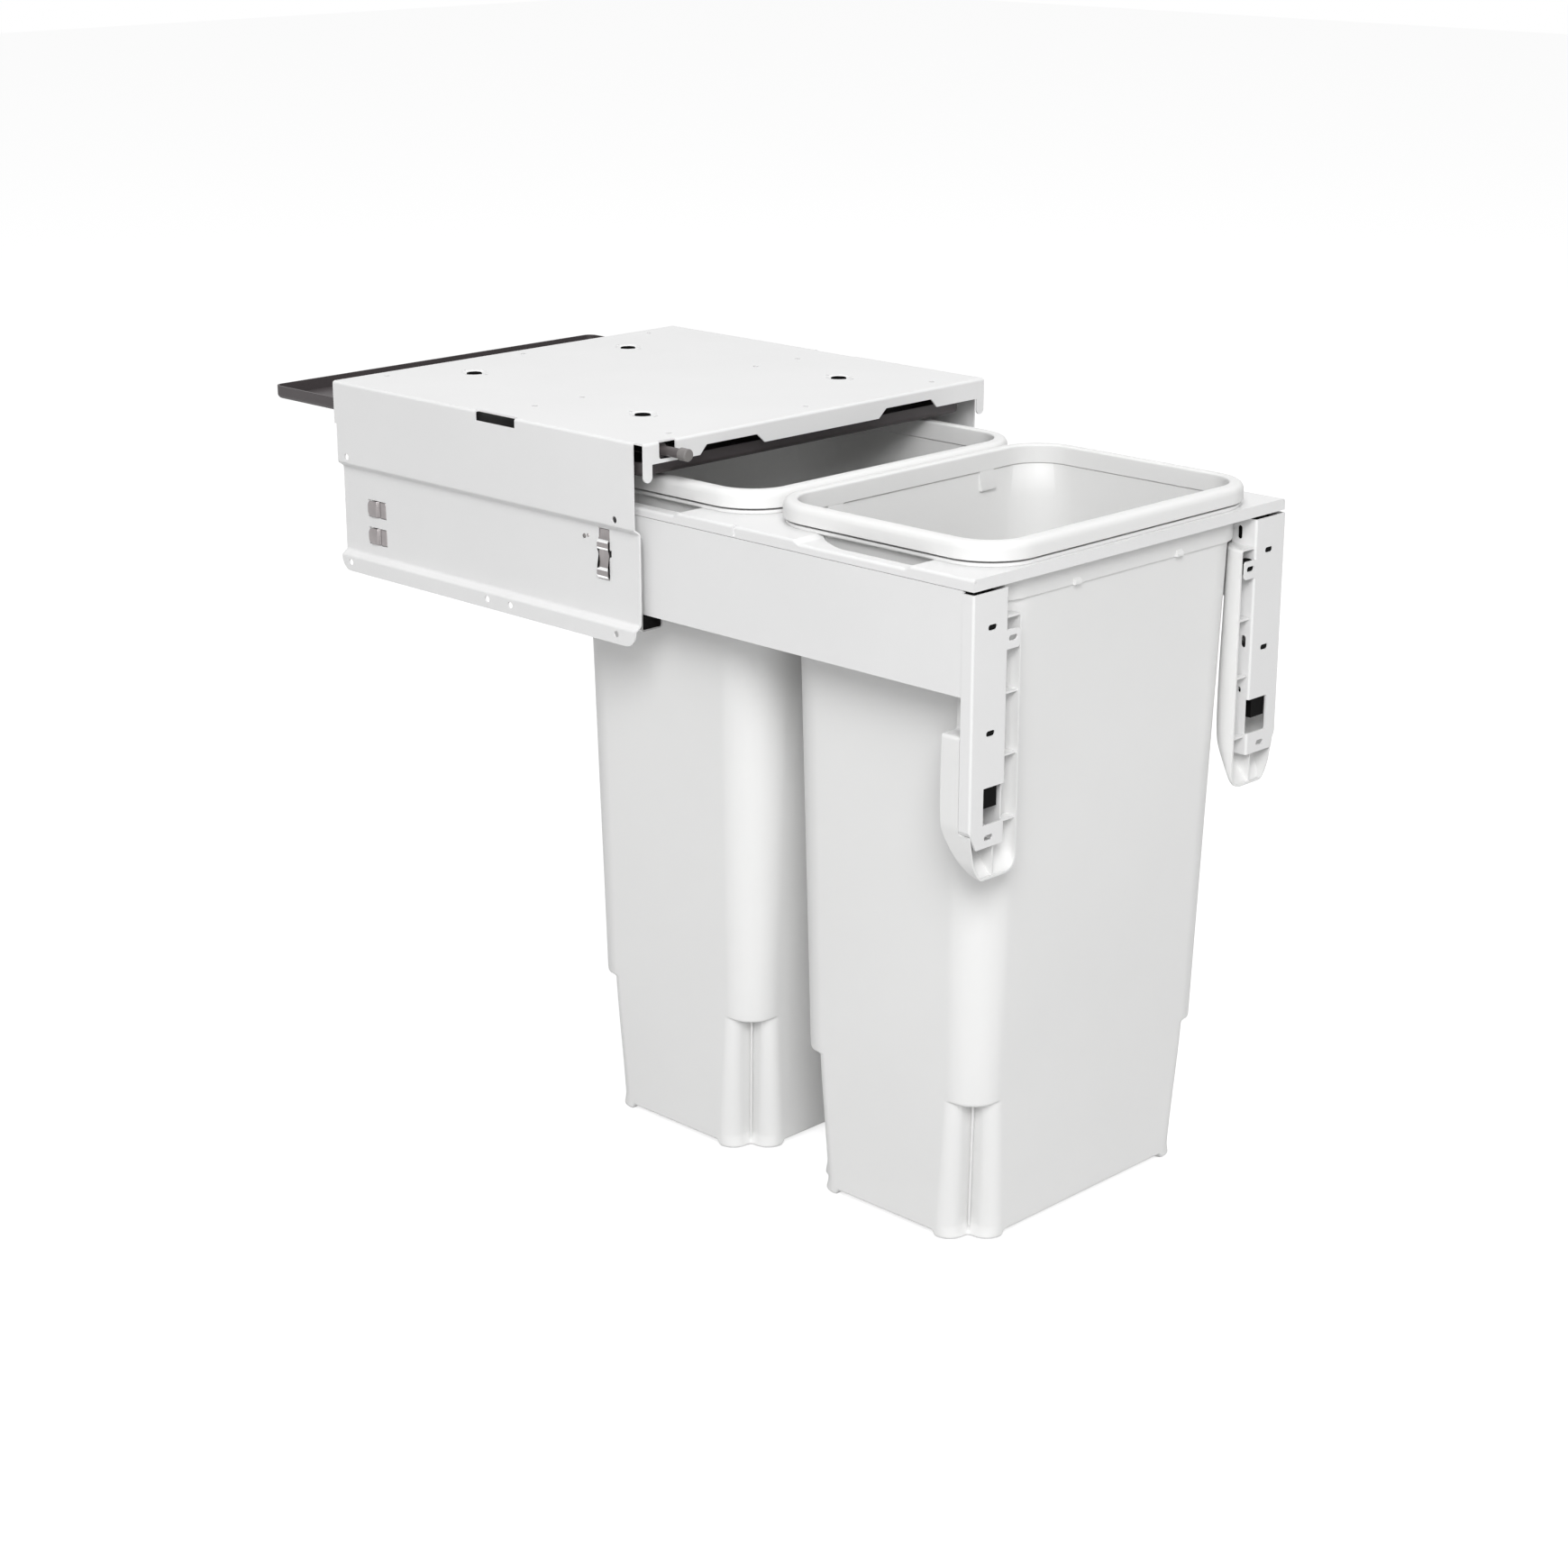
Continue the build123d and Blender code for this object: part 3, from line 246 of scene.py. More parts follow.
def make_materials(finish):
    """All finishes of the unit by the record's slot names."""
    return {
        "white_steel": surface_material(
            "white_powder_coat", finish.steel, 0.5, mottle=0.012, grain=0.12, grain_size=0.0016, specular=0.3
        ),
        "white_plastic": surface_material(
            "white_moulded_plastic", finish.plastic, 0.48,
            mottle=0.015, mottle_size=0.2, grain=0.05, grain_size=0.0009,
        ),
        "lid_plastic": surface_material(
            "charcoal_lid_plastic", finish.lid, 0.5, mottle=0.08, grain=0.3, grain_size=0.0008
        ),
        "black_plastic": surface_material(
            "black_moulded_plastic", finish.black, 0.55,
            mottle=0.1, grain=0.15, grain_size=0.0007, specular=0.03,
        ),
        "zinc_steel": surface_material(
            "satin_zinc", finish.zinc, 0.34, 1.0, mottle=0.08, mottle_size=0.01, grain_size=0.0005
        ),
        # Painted highlight for the clips' crests: the zinc made near-white and glossier.
        "zinc_crest_highlight": surface_material(
            "zinc_crest_highlight", finish.crest_highlight, 0.2, 1.0, mottle_size=0.01, grain=0.04, grain_size=0.0005
        ),
        "slide_steel": surface_material(
            "galvanised_slide_steel", finish.slide, 0.38, 1.0,
            mottle=0.12, mottle_size=0.02, grain=0.12, grain_size=0.0008,
        ),
        "damper_grey": surface_material(
            "grey_damper_plastic", finish.damper, 0.4, mottle=0.06, grain=0.12, grain_size=0.0006
        ),
        "damper_dark": surface_material(
            "dark_damper_plastic", finish.damper_body, 0.4, mottle=0.06, grain=0.12, grain_size=0.0006
        ),
    }


MATERIALS = {}

# ---------------------------------------------------------------- computed surfaces


def grid_surface(points, wrap_rows=False, wrap_columns=True, close_start=False, close_end=False):
    """Turns a grid of points, rows by columns by xyz, into (points, quads, triangles).

    A wrapped direction joins its last line to its first. A closed start or end gets a pole in the
    middle of that row, joined to it by triangles.
    """
    rows, columns = points.shape[:2]
    index = np.arange(rows * columns).reshape(rows, columns)
    if wrap_rows:
        index = np.vstack([index, index[:1]])
    if wrap_columns:
        index = np.hstack([index, index[:, :1]])
    quads = np.stack([index[:-1, :-1], index[:-1, 1:], index[1:, 1:], index[1:, :-1]], axis=-1)
    quads = quads.reshape(-1, 4)
    flat = points.reshape(-1, 3)
    triangles = []
    for wanted, row, flip in ((close_start, 0, False), (close_end, -1, True)):
        if wanted:
            pole = np.full(index.shape[1] - 1, len(flat))
            flat = np.vstack([flat, points[row].mean(axis=0)])
            first, second = index[row, :-1], index[row, 1:]
            if flip:
                triangles.append(np.stack([first, second, pole], axis=-1))
            else:
                triangles.append(np.stack([second, first, pole], axis=-1))
    triangles = np.vstack(triangles) if triangles else np.empty((0, 3), int)
    return flat, quads, triangles


def add_piece(name, surfaces, slot_name, body, replaced=(), sharp=math.radians(40.0), finish=None):
    """One mesh object from several grid surfaces in metres, riding on a body.

    It stands for the replaced nodes, and has the finish of its slot or the one that is named.
    """
    points, faces, offset = [], [], 0
    for surface_points, quads, triangles in surfaces:
        points.append(surface_points)
        faces.append((quads + offset, triangles + offset))
        offset += len(surface_points)
    quads = np.vstack([pair[0] for pair in faces])
    triangles = np.vstack([pair[1] for pair in faces])
    mesh = bpy.data.meshes.new(name)
    mesh.vertices.add(offset)
    mesh.vertices.foreach_set("co", np.vstack(points).astype(np.float32).ravel())
    corners = np.concatenate([quads.ravel(), triangles.ravel()])
    mesh.loops.add(len(corners))
    mesh.loops.foreach_set("vertex_index", corners.astype(np.int32))
    sizes = np.concatenate([np.full(len(quads), 4), np.full(len(triangles), 3)])
    starts = np.concatenate([[0], np.cumsum(sizes)[:-1]])
    mesh.polygons.add(len(sizes))
    mesh.polygons.foreach_set("loop_start", starts.astype(np.int32))
    mesh.update(calc_edges=True)
    mesh.validate()
    mesh.shade_smooth()
    mesh.set_sharp_from_angle(angle=sharp)
    piece = bpy.data.objects.new(name, mesh)
    bpy.context.scene.collection.objects.link(piece)
    mesh.materials.append(MATERIALS[finish or slot_name])
    if replaced:
        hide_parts(*replaced)
    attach(piece, body)
    return piece


def in_metres(surfaces, shift=0.0):
    """Surfaces given in mm, moved to the rear by shift and brought to metres."""
    move = (0.0, shift, 0.0)
    return [((points + move) * MM, quads, triangles) for points, quads, triangles in surfaces]


def mirrored(surfaces):
    """The same surfaces on the left: x changes its sign and each face is turned round."""
    flip = (-1.0, 1.0, 1.0)
    return [(points * flip, quads[:, ::-1], triangles[:, ::-1]) for points, quads, triangles in surfaces]


def add_pair(name, surfaces, slot_name, body, replaced=None, **options):
    """Two pieces from surfaces in mm that are drawn on the right, each standing for a side's node."""
    for side, own in (("left", mirrored(surfaces)), ("right", surfaces)):
        taken = (f"{replaced}_{side}",) if replaced else ()
        add_piece(f"{name}_{side}", in_metres(own), slot_name, body, taken, **options)


def prism(outline, ends):
    """Solid with a closed outline, points by xyz, carried straight from ends[0] to ends[1] and capped."""
    rows = np.stack([np.asarray(outline) + np.asarray(shift) for shift in ends])
    return grid_surface(rows, close_start=True, close_end=True)


def smooth_step(values, low, high):
    """0 below low, 1 above high, with a smooth rise between."""
    share = np.clip((values - low) / (high - low), 0.0, 1.0)
    return share * share * (3.0 - 2.0 * share)


def arc(centre, radius, start, turn, steps=24):
    """Points on a circle from angle start through turn, both in degrees."""
    angles = np.radians(start + turn * np.linspace(0.0, 1.0, steps))
    return np.column_stack([centre[0] + radius * np.cos(angles), centre[1] + radius * np.sin(angles)])


def evenly(path, count):
    """count points spaced evenly along a path of points."""
    steps = np.linalg.norm(np.diff(path, axis=0), axis=1)
    along = np.concatenate([[0.0], np.cumsum(steps)])
    wanted = np.linspace(0.0, along[-1], count)
    return np.column_stack([np.interp(wanted, along, path[:, k]) for k in range(path.shape[1])])


def smoothed(path, times):
    """Each step puts a point at a quarter and at three quarters of every run but keeps the ends."""
    for _ in range(times):
        runs = np.diff(path, axis=0)
        cut = np.stack([path[:-1] + runs / 4, path[:-1] + runs * 3 / 4], axis=1)
        path = np.vstack([path[:1], cut.reshape(-1, path.shape[1]), path[-1:]])
    return path


def turned_corners(corners, reach, count=7):
    """Closed path that rounds each corner with a parabola from reach before it to reach after it."""
    corners = np.asarray(corners, float)
    before, after = np.roll(corners, 1, axis=0) - corners, np.roll(corners, -1, axis=0) - corners
    room = [np.linalg.norm(side, axis=1, keepdims=True) for side in (before, after)]
    reach = np.minimum(reach, MOST_OF_SIDE * np.minimum(*room))
    start, end = corners + before / room[0] * reach, corners + after / room[1] * reach
    share = np.linspace(0.0, 1.0, count)[None, :, None]
    rest = 1.0 - share
    path = rest**2 * start[:, None] + 2.0 * share * rest * corners[:, None] + share**2 * end[:, None]
    return path.reshape(-1, corners.shape[1])


def evenly_round(path, count):
    """count points spaced evenly round a closed path."""
    return evenly(np.vstack([path, path[:1]]), count + 1)[:-1]


def recessed_corner(depth, lobe, valley, count):
    """A corner cut back by a square, seen from the tip of the sharp corner: a round lobe, a straight
    wall, a round valley, a straight wall and a second lobe."""
    path = np.vstack(
        [
            arc((-lobe, -depth - lobe), lobe, 0.0, 90.0),
            arc((-depth + valley, -depth + valley), valley, 270.0, -90.0),
            arc((-depth - lobe, -lobe), lobe, 0.0, 90.0),
        ]
    )
    return evenly(path, count)


def rounded_loops(half_x, half_y, centre_y, radius, side_shares, corner_count, cut=None, cut_share=0.0):
    """Closed outlines of rounded rectangles, one for each entry of the size arrays.

    Each corner is a quarter circle with corner_count points, blended by cut_share into the outline cut,
    and each side has points at side_shares of its length. The result is rows by columns by xy.
    """
    half_x, half_y, centre_y, radius, cut_share = np.broadcast_arrays(
        *np.atleast_1d(half_x, half_y, centre_y, radius, cut_share)
    )
    angle = np.linspace(0.0, QUARTER, corner_count)
    quarter = np.stack([np.cos(angle) - 1.0, np.sin(angle) - 1.0], axis=-1)
    corner = quarter[None] * radius[:, None, None]
    if cut is not None:
        share = cut_share[:, None, None]
        corner = corner * (1.0 - share) + cut * share
    tip = np.stack([half_x, half_y], axis=-1)[:, None]
    first = corner + tip
    reverse = first[:, ::-1]
    corners = [first, reverse * (-1, 1), first * (-1, -1), reverse * (1, -1)]
    pieces = []
    for number, points in enumerate(corners):
        following = corners[(number + 1) % 4]
        start, end = points[:, -1:], following[:, :1]
        between = start + (end - start) * side_shares[None, :, None]
        pieces += [points, between]
    loops = np.concatenate(pieces, axis=1)
    loops[..., 1] += centre_y[:, None]
    return loops


# ---------------------------------------------------------------- buckets


class BINUNIT_OT_buckets(bpy.types.Operator):
    """Makes both buckets as thin moulded shells with recessed lower corners, ribs, feet and catches"""

    bl_idname = "binunit.buckets"
    bl_label = "Buckets"

    BODY_TOP = (160.0, -341.5, -113.5, 44.0)  # half width, front, rear and corner radius under the collar
    BODY_BASE = (145.2, -319.8, -128.5, 27.0)  # the same at the floor
    COLLAR = (162.0, 116.5, 40.0)  # half sizes and corner radius
    COLLAR_WALL = 4.0
    COLLAR_EDGE = 1.2
    RIM = (167.0, 121.5, 45.0)
    RIM_EDGE = 0.8
    CENTRE_Y = -226.5
    BASE_Z = -623.7
    BASE_EDGE = 3.0
    FOOT_Z = -628.0
    FOOT_REACH = (38.5, 43.0)  # from a corner's tip: end of the foot, and of the curl beside it
    COLLAR_Z = -82.0
    RIM_Z = (-54.1, -51.1)
    LEDGE_Z = -497.0  # where the rounded column over a recess starts to turn under
    LEDGE_EDGE = 3.0
    SAG = 4.0  # how far a column's foot hangs lower in its middle
    SAG_Z = (-545.0, -501.0, -496.0, -420.0)  # where the sag starts and is full, from below and from above
    SHELF_Z = (-622.0, -616.0)
    SHELF_SHARE = 0.8  # of the recess's depth that is left under its shelf
    LOBE_GROWTH = (1.25, 1.09)  # of the lobes' radius and of the depth, from a recess's top to its foot
    LEAN_Z = (-4.0, -1.6)  # from the ledge, where the recess's wall starts to lean out and stops
    LEAN = 0.22  # by which share of the depth it leans out
    RIB = (0.9, 8.5)  # half thickness, and how far it stands out of the valley
    RIB_Z = (-504.0, -616.5)
    RIB_ROOT = 1.5  # how deep a rib is sunk into the valley
    LEAST_RADIUS = 4.0
    CATCH_X = 63.7
    CATCH_HALF = 3.8
    CATCH_PROFILE = ((0.8, -75.4), (-2.1, -78.4), (-2.3, -80.0), (-2.1, -81.4), (0.8, -82.0))  # y, z
    FLOOR_CORE = 0.06  # share of the floor's size at its innermost row
    FOOT_RISE = (0.84, 0.99)  # of the floor's size, over which a foot rises to the floor's middle
    CLOSE_POINTS = 0.12  # share of a side, next to each corner, with points close together
    # points along one stretch of the wall's section or of its outline
    EDGE_ROWS, FLOOR_ROWS, SHELF_ROWS, WALL_ROWS, LEAN_ROWS, COLUMN_ROWS = 7, 9, 9, 12, 6, 16
    RIM_ROWS, NEAR_COUNT, FAR_COUNT, NOSE_COUNT = 5, 17, 9, 9

    def body(self, z):
        """Half width, half depth, middle and corner radius of the straight tapered body at heights z."""
        share = (z - self.COLLAR_Z) / (self.BASE_Z - self.COLLAR_Z)
        half, front, rear, corner = (a + (b - a) * share for a, b in zip(self.BODY_TOP, self.BODY_BASE))
        return half, (rear - front) / 2, (rear + front) / 2, corner

    def stations(self, inset):
        """Rows of the body from the floor's middle up to the collar, as arrays: the scale about the
        middle, the height, the inset of the base's rounded edge and how far the corners are recessed.

        The recess is cut in at its top along a quarter circle and a ledge, and comes half out again
        over its shelf.
        """
        floor = self.BASE_Z + inset
        turn = np.linspace(0.0, QUARTER, self.EDGE_ROWS)
        shrink = np.linspace(self.FLOOR_CORE, 1.0, self.FLOOR_ROWS)[:-1]
        edge_z = floor + self.BASE_EDGE * (1.0 - np.cos(turn))
        shelf_z = np.linspace(edge_z[-1], self.SHELF_Z[1], self.SHELF_ROWS)[1:]
        low_z = np.concatenate([np.full(len(shrink), floor), edge_z, shelf_z])
        low_share = self.SHELF_SHARE + (1.0 - self.SHELF_SHARE) * smooth_step(low_z, *self.SHELF_Z)

        ledge_z = self.LEDGE_Z - self.LEDGE_EDGE
        lean_start, lean_end = (ledge_z + z for z in self.LEAN_Z)
        wall_z = np.linspace(self.SHELF_Z[1], lean_start, self.WALL_ROWS)[1:-1]
        to_end = np.linspace(1.0, 0.0, self.LEAN_ROWS)
        lean_z = lean_start + (lean_end - lean_start) * (1.0 - to_end**2)
        lean_share = 1.0 - self.LEAN * (1.0 - to_end) ** 2

        lip_depth = self.LEDGE_EDGE / self.recess
        ledge_top_z = np.linspace(lean_end, ledge_z, self.LEAN_ROWS)[1:-1]
        ledge_top_share = np.linspace(1.0 - self.LEAN, lip_depth, self.LEAN_ROWS)[1:-1]
        lip_z = self.LEDGE_Z - self.LEDGE_EDGE * np.cos(turn)
        lip_share = lip_depth * (1.0 - np.sin(turn))
        column_z = np.linspace(self.LEDGE_Z, self.COLLAR_Z + inset, self.COLUMN_ROWS)[1:]

        z = np.concatenate([low_z, wall_z, lean_z, ledge_top_z, lip_z, column_z])
        wall_share, column_share = np.ones(len(wall_z)), np.zeros(len(column_z))
        recessed = np.concatenate(
            [low_share, wall_share, lean_share, ledge_top_share, lip_share, column_share]
        )
        scale = np.concatenate([shrink, np.ones(len(z) - len(shrink))])
        edge = self.BASE_EDGE * np.concatenate(
            [np.ones(len(shrink)), 1.0 - np.sin(turn), np.zeros(len(z) - len(shrink) - len(turn))]
        )
        return scale, z, edge, recessed

    def body_loops(self, inset, side_shares):
        """Outlines of the body's outer face, or of its inner one when inset by the wall."""
        scale, z, edge, recessed = self.stations(inset)
        half_x, half_y, centre, corner = self.body(z)
        low = smooth_step(-z, -self.RIB_Z[0], -self.BASE_Z)[:, None, None]
        cuts = []
        for lobe_growth, depth_growth in ((1.0, 1.0), self.LOBE_GROWTH):
            lobe = self.lobe * lobe_growth - inset
            cuts.append(recessed_corner(self.recess * depth_growth, lobe, self.valley + inset, self.steps))
        cut = cuts[0] * (1.0 - low) + cuts[1] * low
        loops = rounded_loops(
            half_x - inset - edge,
            half_y - inset - edge,
            centre,
            np.maximum(corner - inset - edge, self.LEAST_RADIUS),
            side_shares,
            self.steps,
            cut,
            recessed,
        )
        middle = np.stack([np.zeros_like(centre), centre], axis=-1)[:, None]
        return middle + (loops - middle) * scale[:, None, None], z, scale

    def collar_rows(self):
        """Half sizes, corner radius and height of the collar's rows: up its outside, out round the rim
        and down inside, each edge a quarter circle."""
        turn = np.linspace(0.0, QUARTER, self.RIM_ROWS)
        inwards, upwards = 1.0 - np.sin(turn), 1.0 - np.cos(turn)
        foot_in, foot_up = self.COLLAR_EDGE * inwards, self.COLLAR_EDGE * upwards
        edge_in, edge_up = self.RIM_EDGE * inwards, self.RIM_EDGE * upwards
        collar, rim = np.array(self.COLLAR), np.array(self.RIM)
        inner = collar - self.COLLAR_WALL
        low, high = self.RIM_Z
        rows = (
            (collar - foot_in[:, None], self.COLLAR_Z + foot_up),
            ([collar], [low]),
            (rim - edge_in[:, None], low + edge_up),
            (rim - edge_up[:, None], high - edge_in),
            ([inner + self.RIM_EDGE, inner], [high, high - self.RIM_EDGE]),
        )
        return tuple(np.concatenate(part) for part in zip(*rows))

    def feet(self, loops, z, scale):
        """How far the base drops: within the foot's reach of each corner's tip, fading out up the wall
        and in towards the floor's middle."""
        half_x, half_y, centre, _ = self.body(np.array(self.BASE_Z))
        to_side = half_x - np.abs(loops[..., 0])
        to_end = half_y - np.abs(loops[..., 1] - centre)
        foot = 1.0 - smooth_step(np.maximum(to_side, to_end), *self.FOOT_REACH)
        low = 1.0 - smooth_step(z, self.BASE_Z + self.BASE_EDGE, self.SHELF_Z[1])
        outer = smooth_step(scale, *self.FOOT_RISE)
        return (self.BASE_Z - self.FOOT_Z) * foot * (low * outer)[:, None]

    def sag(self, z, side_count):
        """How far the foot of each rounded column hangs lower: a half sine wave across the corner,
        fading out up the column and down the recess."""
        across = np.sin(np.linspace(0.0, math.pi, self.steps))
        round_once = np.tile(np.concatenate([across, np.zeros(side_count)]), 4)
        low, full_low, full_high, high = self.SAG_Z
        fade = smooth_step(z, low, full_low) * (1.0 - smooth_step(z, full_high, high))
        return self.SAG * fade[:, None] * round_once

    def ribs(self):
        """Upright fins that stand out of the four recesses: a round-nosed outline across each corner,
        carried down along the tapering valley."""
        half_x, half_y, centre, _ = self.body(np.array(self.RIB_Z))
        thick, proud = self.RIB
        nose = arc((proud - thick, 0.0), thick, -90.0, 180.0, self.NOSE_COUNT)
        outline = np.vstack([[(-self.RIB_ROOT, -thick)], nose, [(-self.RIB_ROOT, thick)]])
        growth = np.array([1.0, self.LOBE_GROWTH[1]])
        inward = self.recess * growth - self.valley * (1.0 - math.sqrt(0.5))
        surfaces = []
        for sign_x in (-1, 1):
            for sign_y in (-1, 1):
                out = np.array([sign_x, sign_y]) * math.sqrt(0.5)
                across = np.array([-out[1], out[0]])
                foot = np.stack([sign_x * (half_x - inward), centre + sign_y * (half_y - inward)], axis=-1)
                flat = outline[:, :1] * out + outline[:, 1:] * across
                loops = foot[:, None] + flat[None]
                heights = np.broadcast_to(np.array(self.RIB_Z)[:, None, None], (*loops.shape[:2], 1))
                rows = np.concatenate([loops, heights], axis=-1)[::-1]
                surfaces.append(grid_surface(rows, close_start=True, close_end=True))
        return surfaces

    def catches(self):
        """Two small wedges on the front of the collar's foot."""
        wall = self.CENTRE_Y - self.COLLAR[1]
        outline = np.array([(0.0, wall + y, z) for y, z in self.CATCH_PROFILE])
        surfaces = []
        for middle in (-self.CATCH_X, self.CATCH_X):
            left, right = middle - self.CATCH_HALF, middle + self.CATCH_HALF
            surfaces.append(prism(outline, ((left, 0.0, 0.0), (right, 0.0, 0.0))))
        return surfaces

    def execute(self, context):
        settings = context.scene.bin_unit.bucket
        self.recess = settings.recess / MM
        self.lobe = settings.lobe / MM
        self.valley = settings.valley / MM
        self.steps = settings.steps
        near = np.linspace(0.0, self.CLOSE_POINTS, self.NEAR_COUNT)
        far = np.linspace(self.CLOSE_POINTS, 1.0 - self.CLOSE_POINTS, self.FAR_COUNT)
        side_shares = np.concatenate([near[1:], far[1:-1], 1.0 - near[:0:-1]])
        outer, outer_z, outer_scale = self.body_loops(0.0, side_shares)
        inner, inner_z, _ = self.body_loops(settings.wall / MM, side_shares)
        sizes, collar_z = self.collar_rows()
        half_x, half_y, radius = sizes.T
        collar = rounded_loops(half_x, half_y, self.CENTRE_Y, radius, side_shares, self.steps)
        loops = np.concatenate([outer, collar, inner[::-1]])
        z = np.concatenate([outer_z, collar_z, inner_z[::-1]])
        heights = np.broadcast_to(z[:, None], loops.shape[:2]).copy()
        heights -= self.sag(z, len(side_shares))
        heights[: len(outer_z)] -= self.feet(outer, outer_z, outer_scale)
        rows = np.concatenate([loops, heights[..., None]], axis=-1)
        shell = grid_surface(rows, close_start=True, close_end=True)
        surfaces = [shell, *self.ribs(), *self.catches()]
        for place, shift in PLACES:
            node = f"bucket_{place}"
            add_piece(f"{node}_shell", in_metres(surfaces, shift), "white_plastic", "carrier", (node,))
        return {"FINISHED"}


# ---------------------------------------------------------------- liner rings


class BINUNIT_OT_rings(bpy.types.Operator):
    """Makes both liner rings with soft crowns, hollow from below, and their inner tabs"""

    bl_idname = "binunit.rings"
    bl_label = "Liner rings"

    OUTER = (168.9, 123.25, 46.0)
    OPENING = (157.0, 111.0, 34.0)
    CENTRE_Y = -226.5
    FOOT_Z = -51.0
    # the crown from the outer foot to the inner foot: distance inwards and height over the foot
    PROFILE = (
        (0.0, 2.1), (0.0, 9.5), (0.15, 11.5), (0.9, 13.6), (2.2, 15.1), (4.0, 16.0),
        (6.0, 16.3), (9.6, 16.3), (11.0, 16.0), (11.7, 15.2), (11.9, 14.0), (11.9, 0.5),
    )
    SMOOTHING = 4
    WALL = 2.3
    CHAMFERS = ((1.1, 1.0), (1.1, 1.4))  # of the hollow's upper corners, at the opening and outside
    FOOT_CHAMFERS = (0.5, 0.3)  # of the inner wall's foot and of the outer wall's
    GAP = 1.8  # between the outer wall's foot and the bucket's rim
    TAB_X = 93.0
    TAB_HALF = 9.0
    # a tab's section: distance outwards from the opening and height over the foot
    TAB = ((1.4, 1.0), (1.4, -17.0), (-2.2, -16.4), (-2.6, -14.5), (0.2, -1.0), (0.2, 1.0))
    CORNER_COUNT, SIDE_COUNT = 24, 14

    def execute(self, context):
        width = self.OUTER[0] - self.OPENING[0]
        crown = np.array(self.PROFILE)
        under = crown[:, 1].max() - self.WALL
        (inner_in, inner_down), (outer_in, outer_down) = self.CHAMFERS
        inner_wall = width - self.WALL
        hollow = [
            (width - self.FOOT_CHAMFERS[0], 0.0),
            (inner_wall, 0.0),
            (inner_wall, under - inner_down),
            (inner_wall - inner_in, under),
            (self.WALL + outer_in, under),
            (self.WALL, under - outer_down),
            (self.WALL, self.GAP),
            (self.FOOT_CHAMFERS[1], self.GAP),
        ]
        profile = np.vstack([smoothed(crown, self.SMOOTHING), hollow])
        share = profile[:, 0] / width
        half_x, half_y, radius = (a + (b - a) * share for a, b in zip(self.OUTER, self.OPENING))
        side_shares = np.linspace(0.0, 1.0, self.SIDE_COUNT)[1:-1]
        loops = rounded_loops(half_x, half_y, self.CENTRE_Y, radius, side_shares, self.CORNER_COUNT)
        heights = np.broadcast_to(self.FOOT_Z + profile[:, 1, None, None], (*loops.shape[:2], 1))
        surfaces = [grid_surface(np.concatenate([loops, heights], axis=-1), wrap_rows=True)]
        for sign_y in (-1, 1):
            wall = self.CENTRE_Y + sign_y * self.OPENING[1]
            tab = np.array([(0.0, wall + sign_y * out, self.FOOT_Z + z) for out, z in self.TAB])
            for middle in (-self.TAB_X, self.TAB_X):
                start, end = middle + sign_y * self.TAB_HALF, middle - sign_y * self.TAB_HALF
                surfaces.append(prism(tab, ((start, 0.0, 0.0), (end, 0.0, 0.0))))
        for place, shift in PLACES:
            node = f"liner_ring_{place}"
            add_piece(f"{node}_moulding", in_metres(surfaces, shift), "white_plastic", "carrier", (node,))
        return {"FINISHED"}


# ---------------------------------------------------------------- covers behind the door brackets


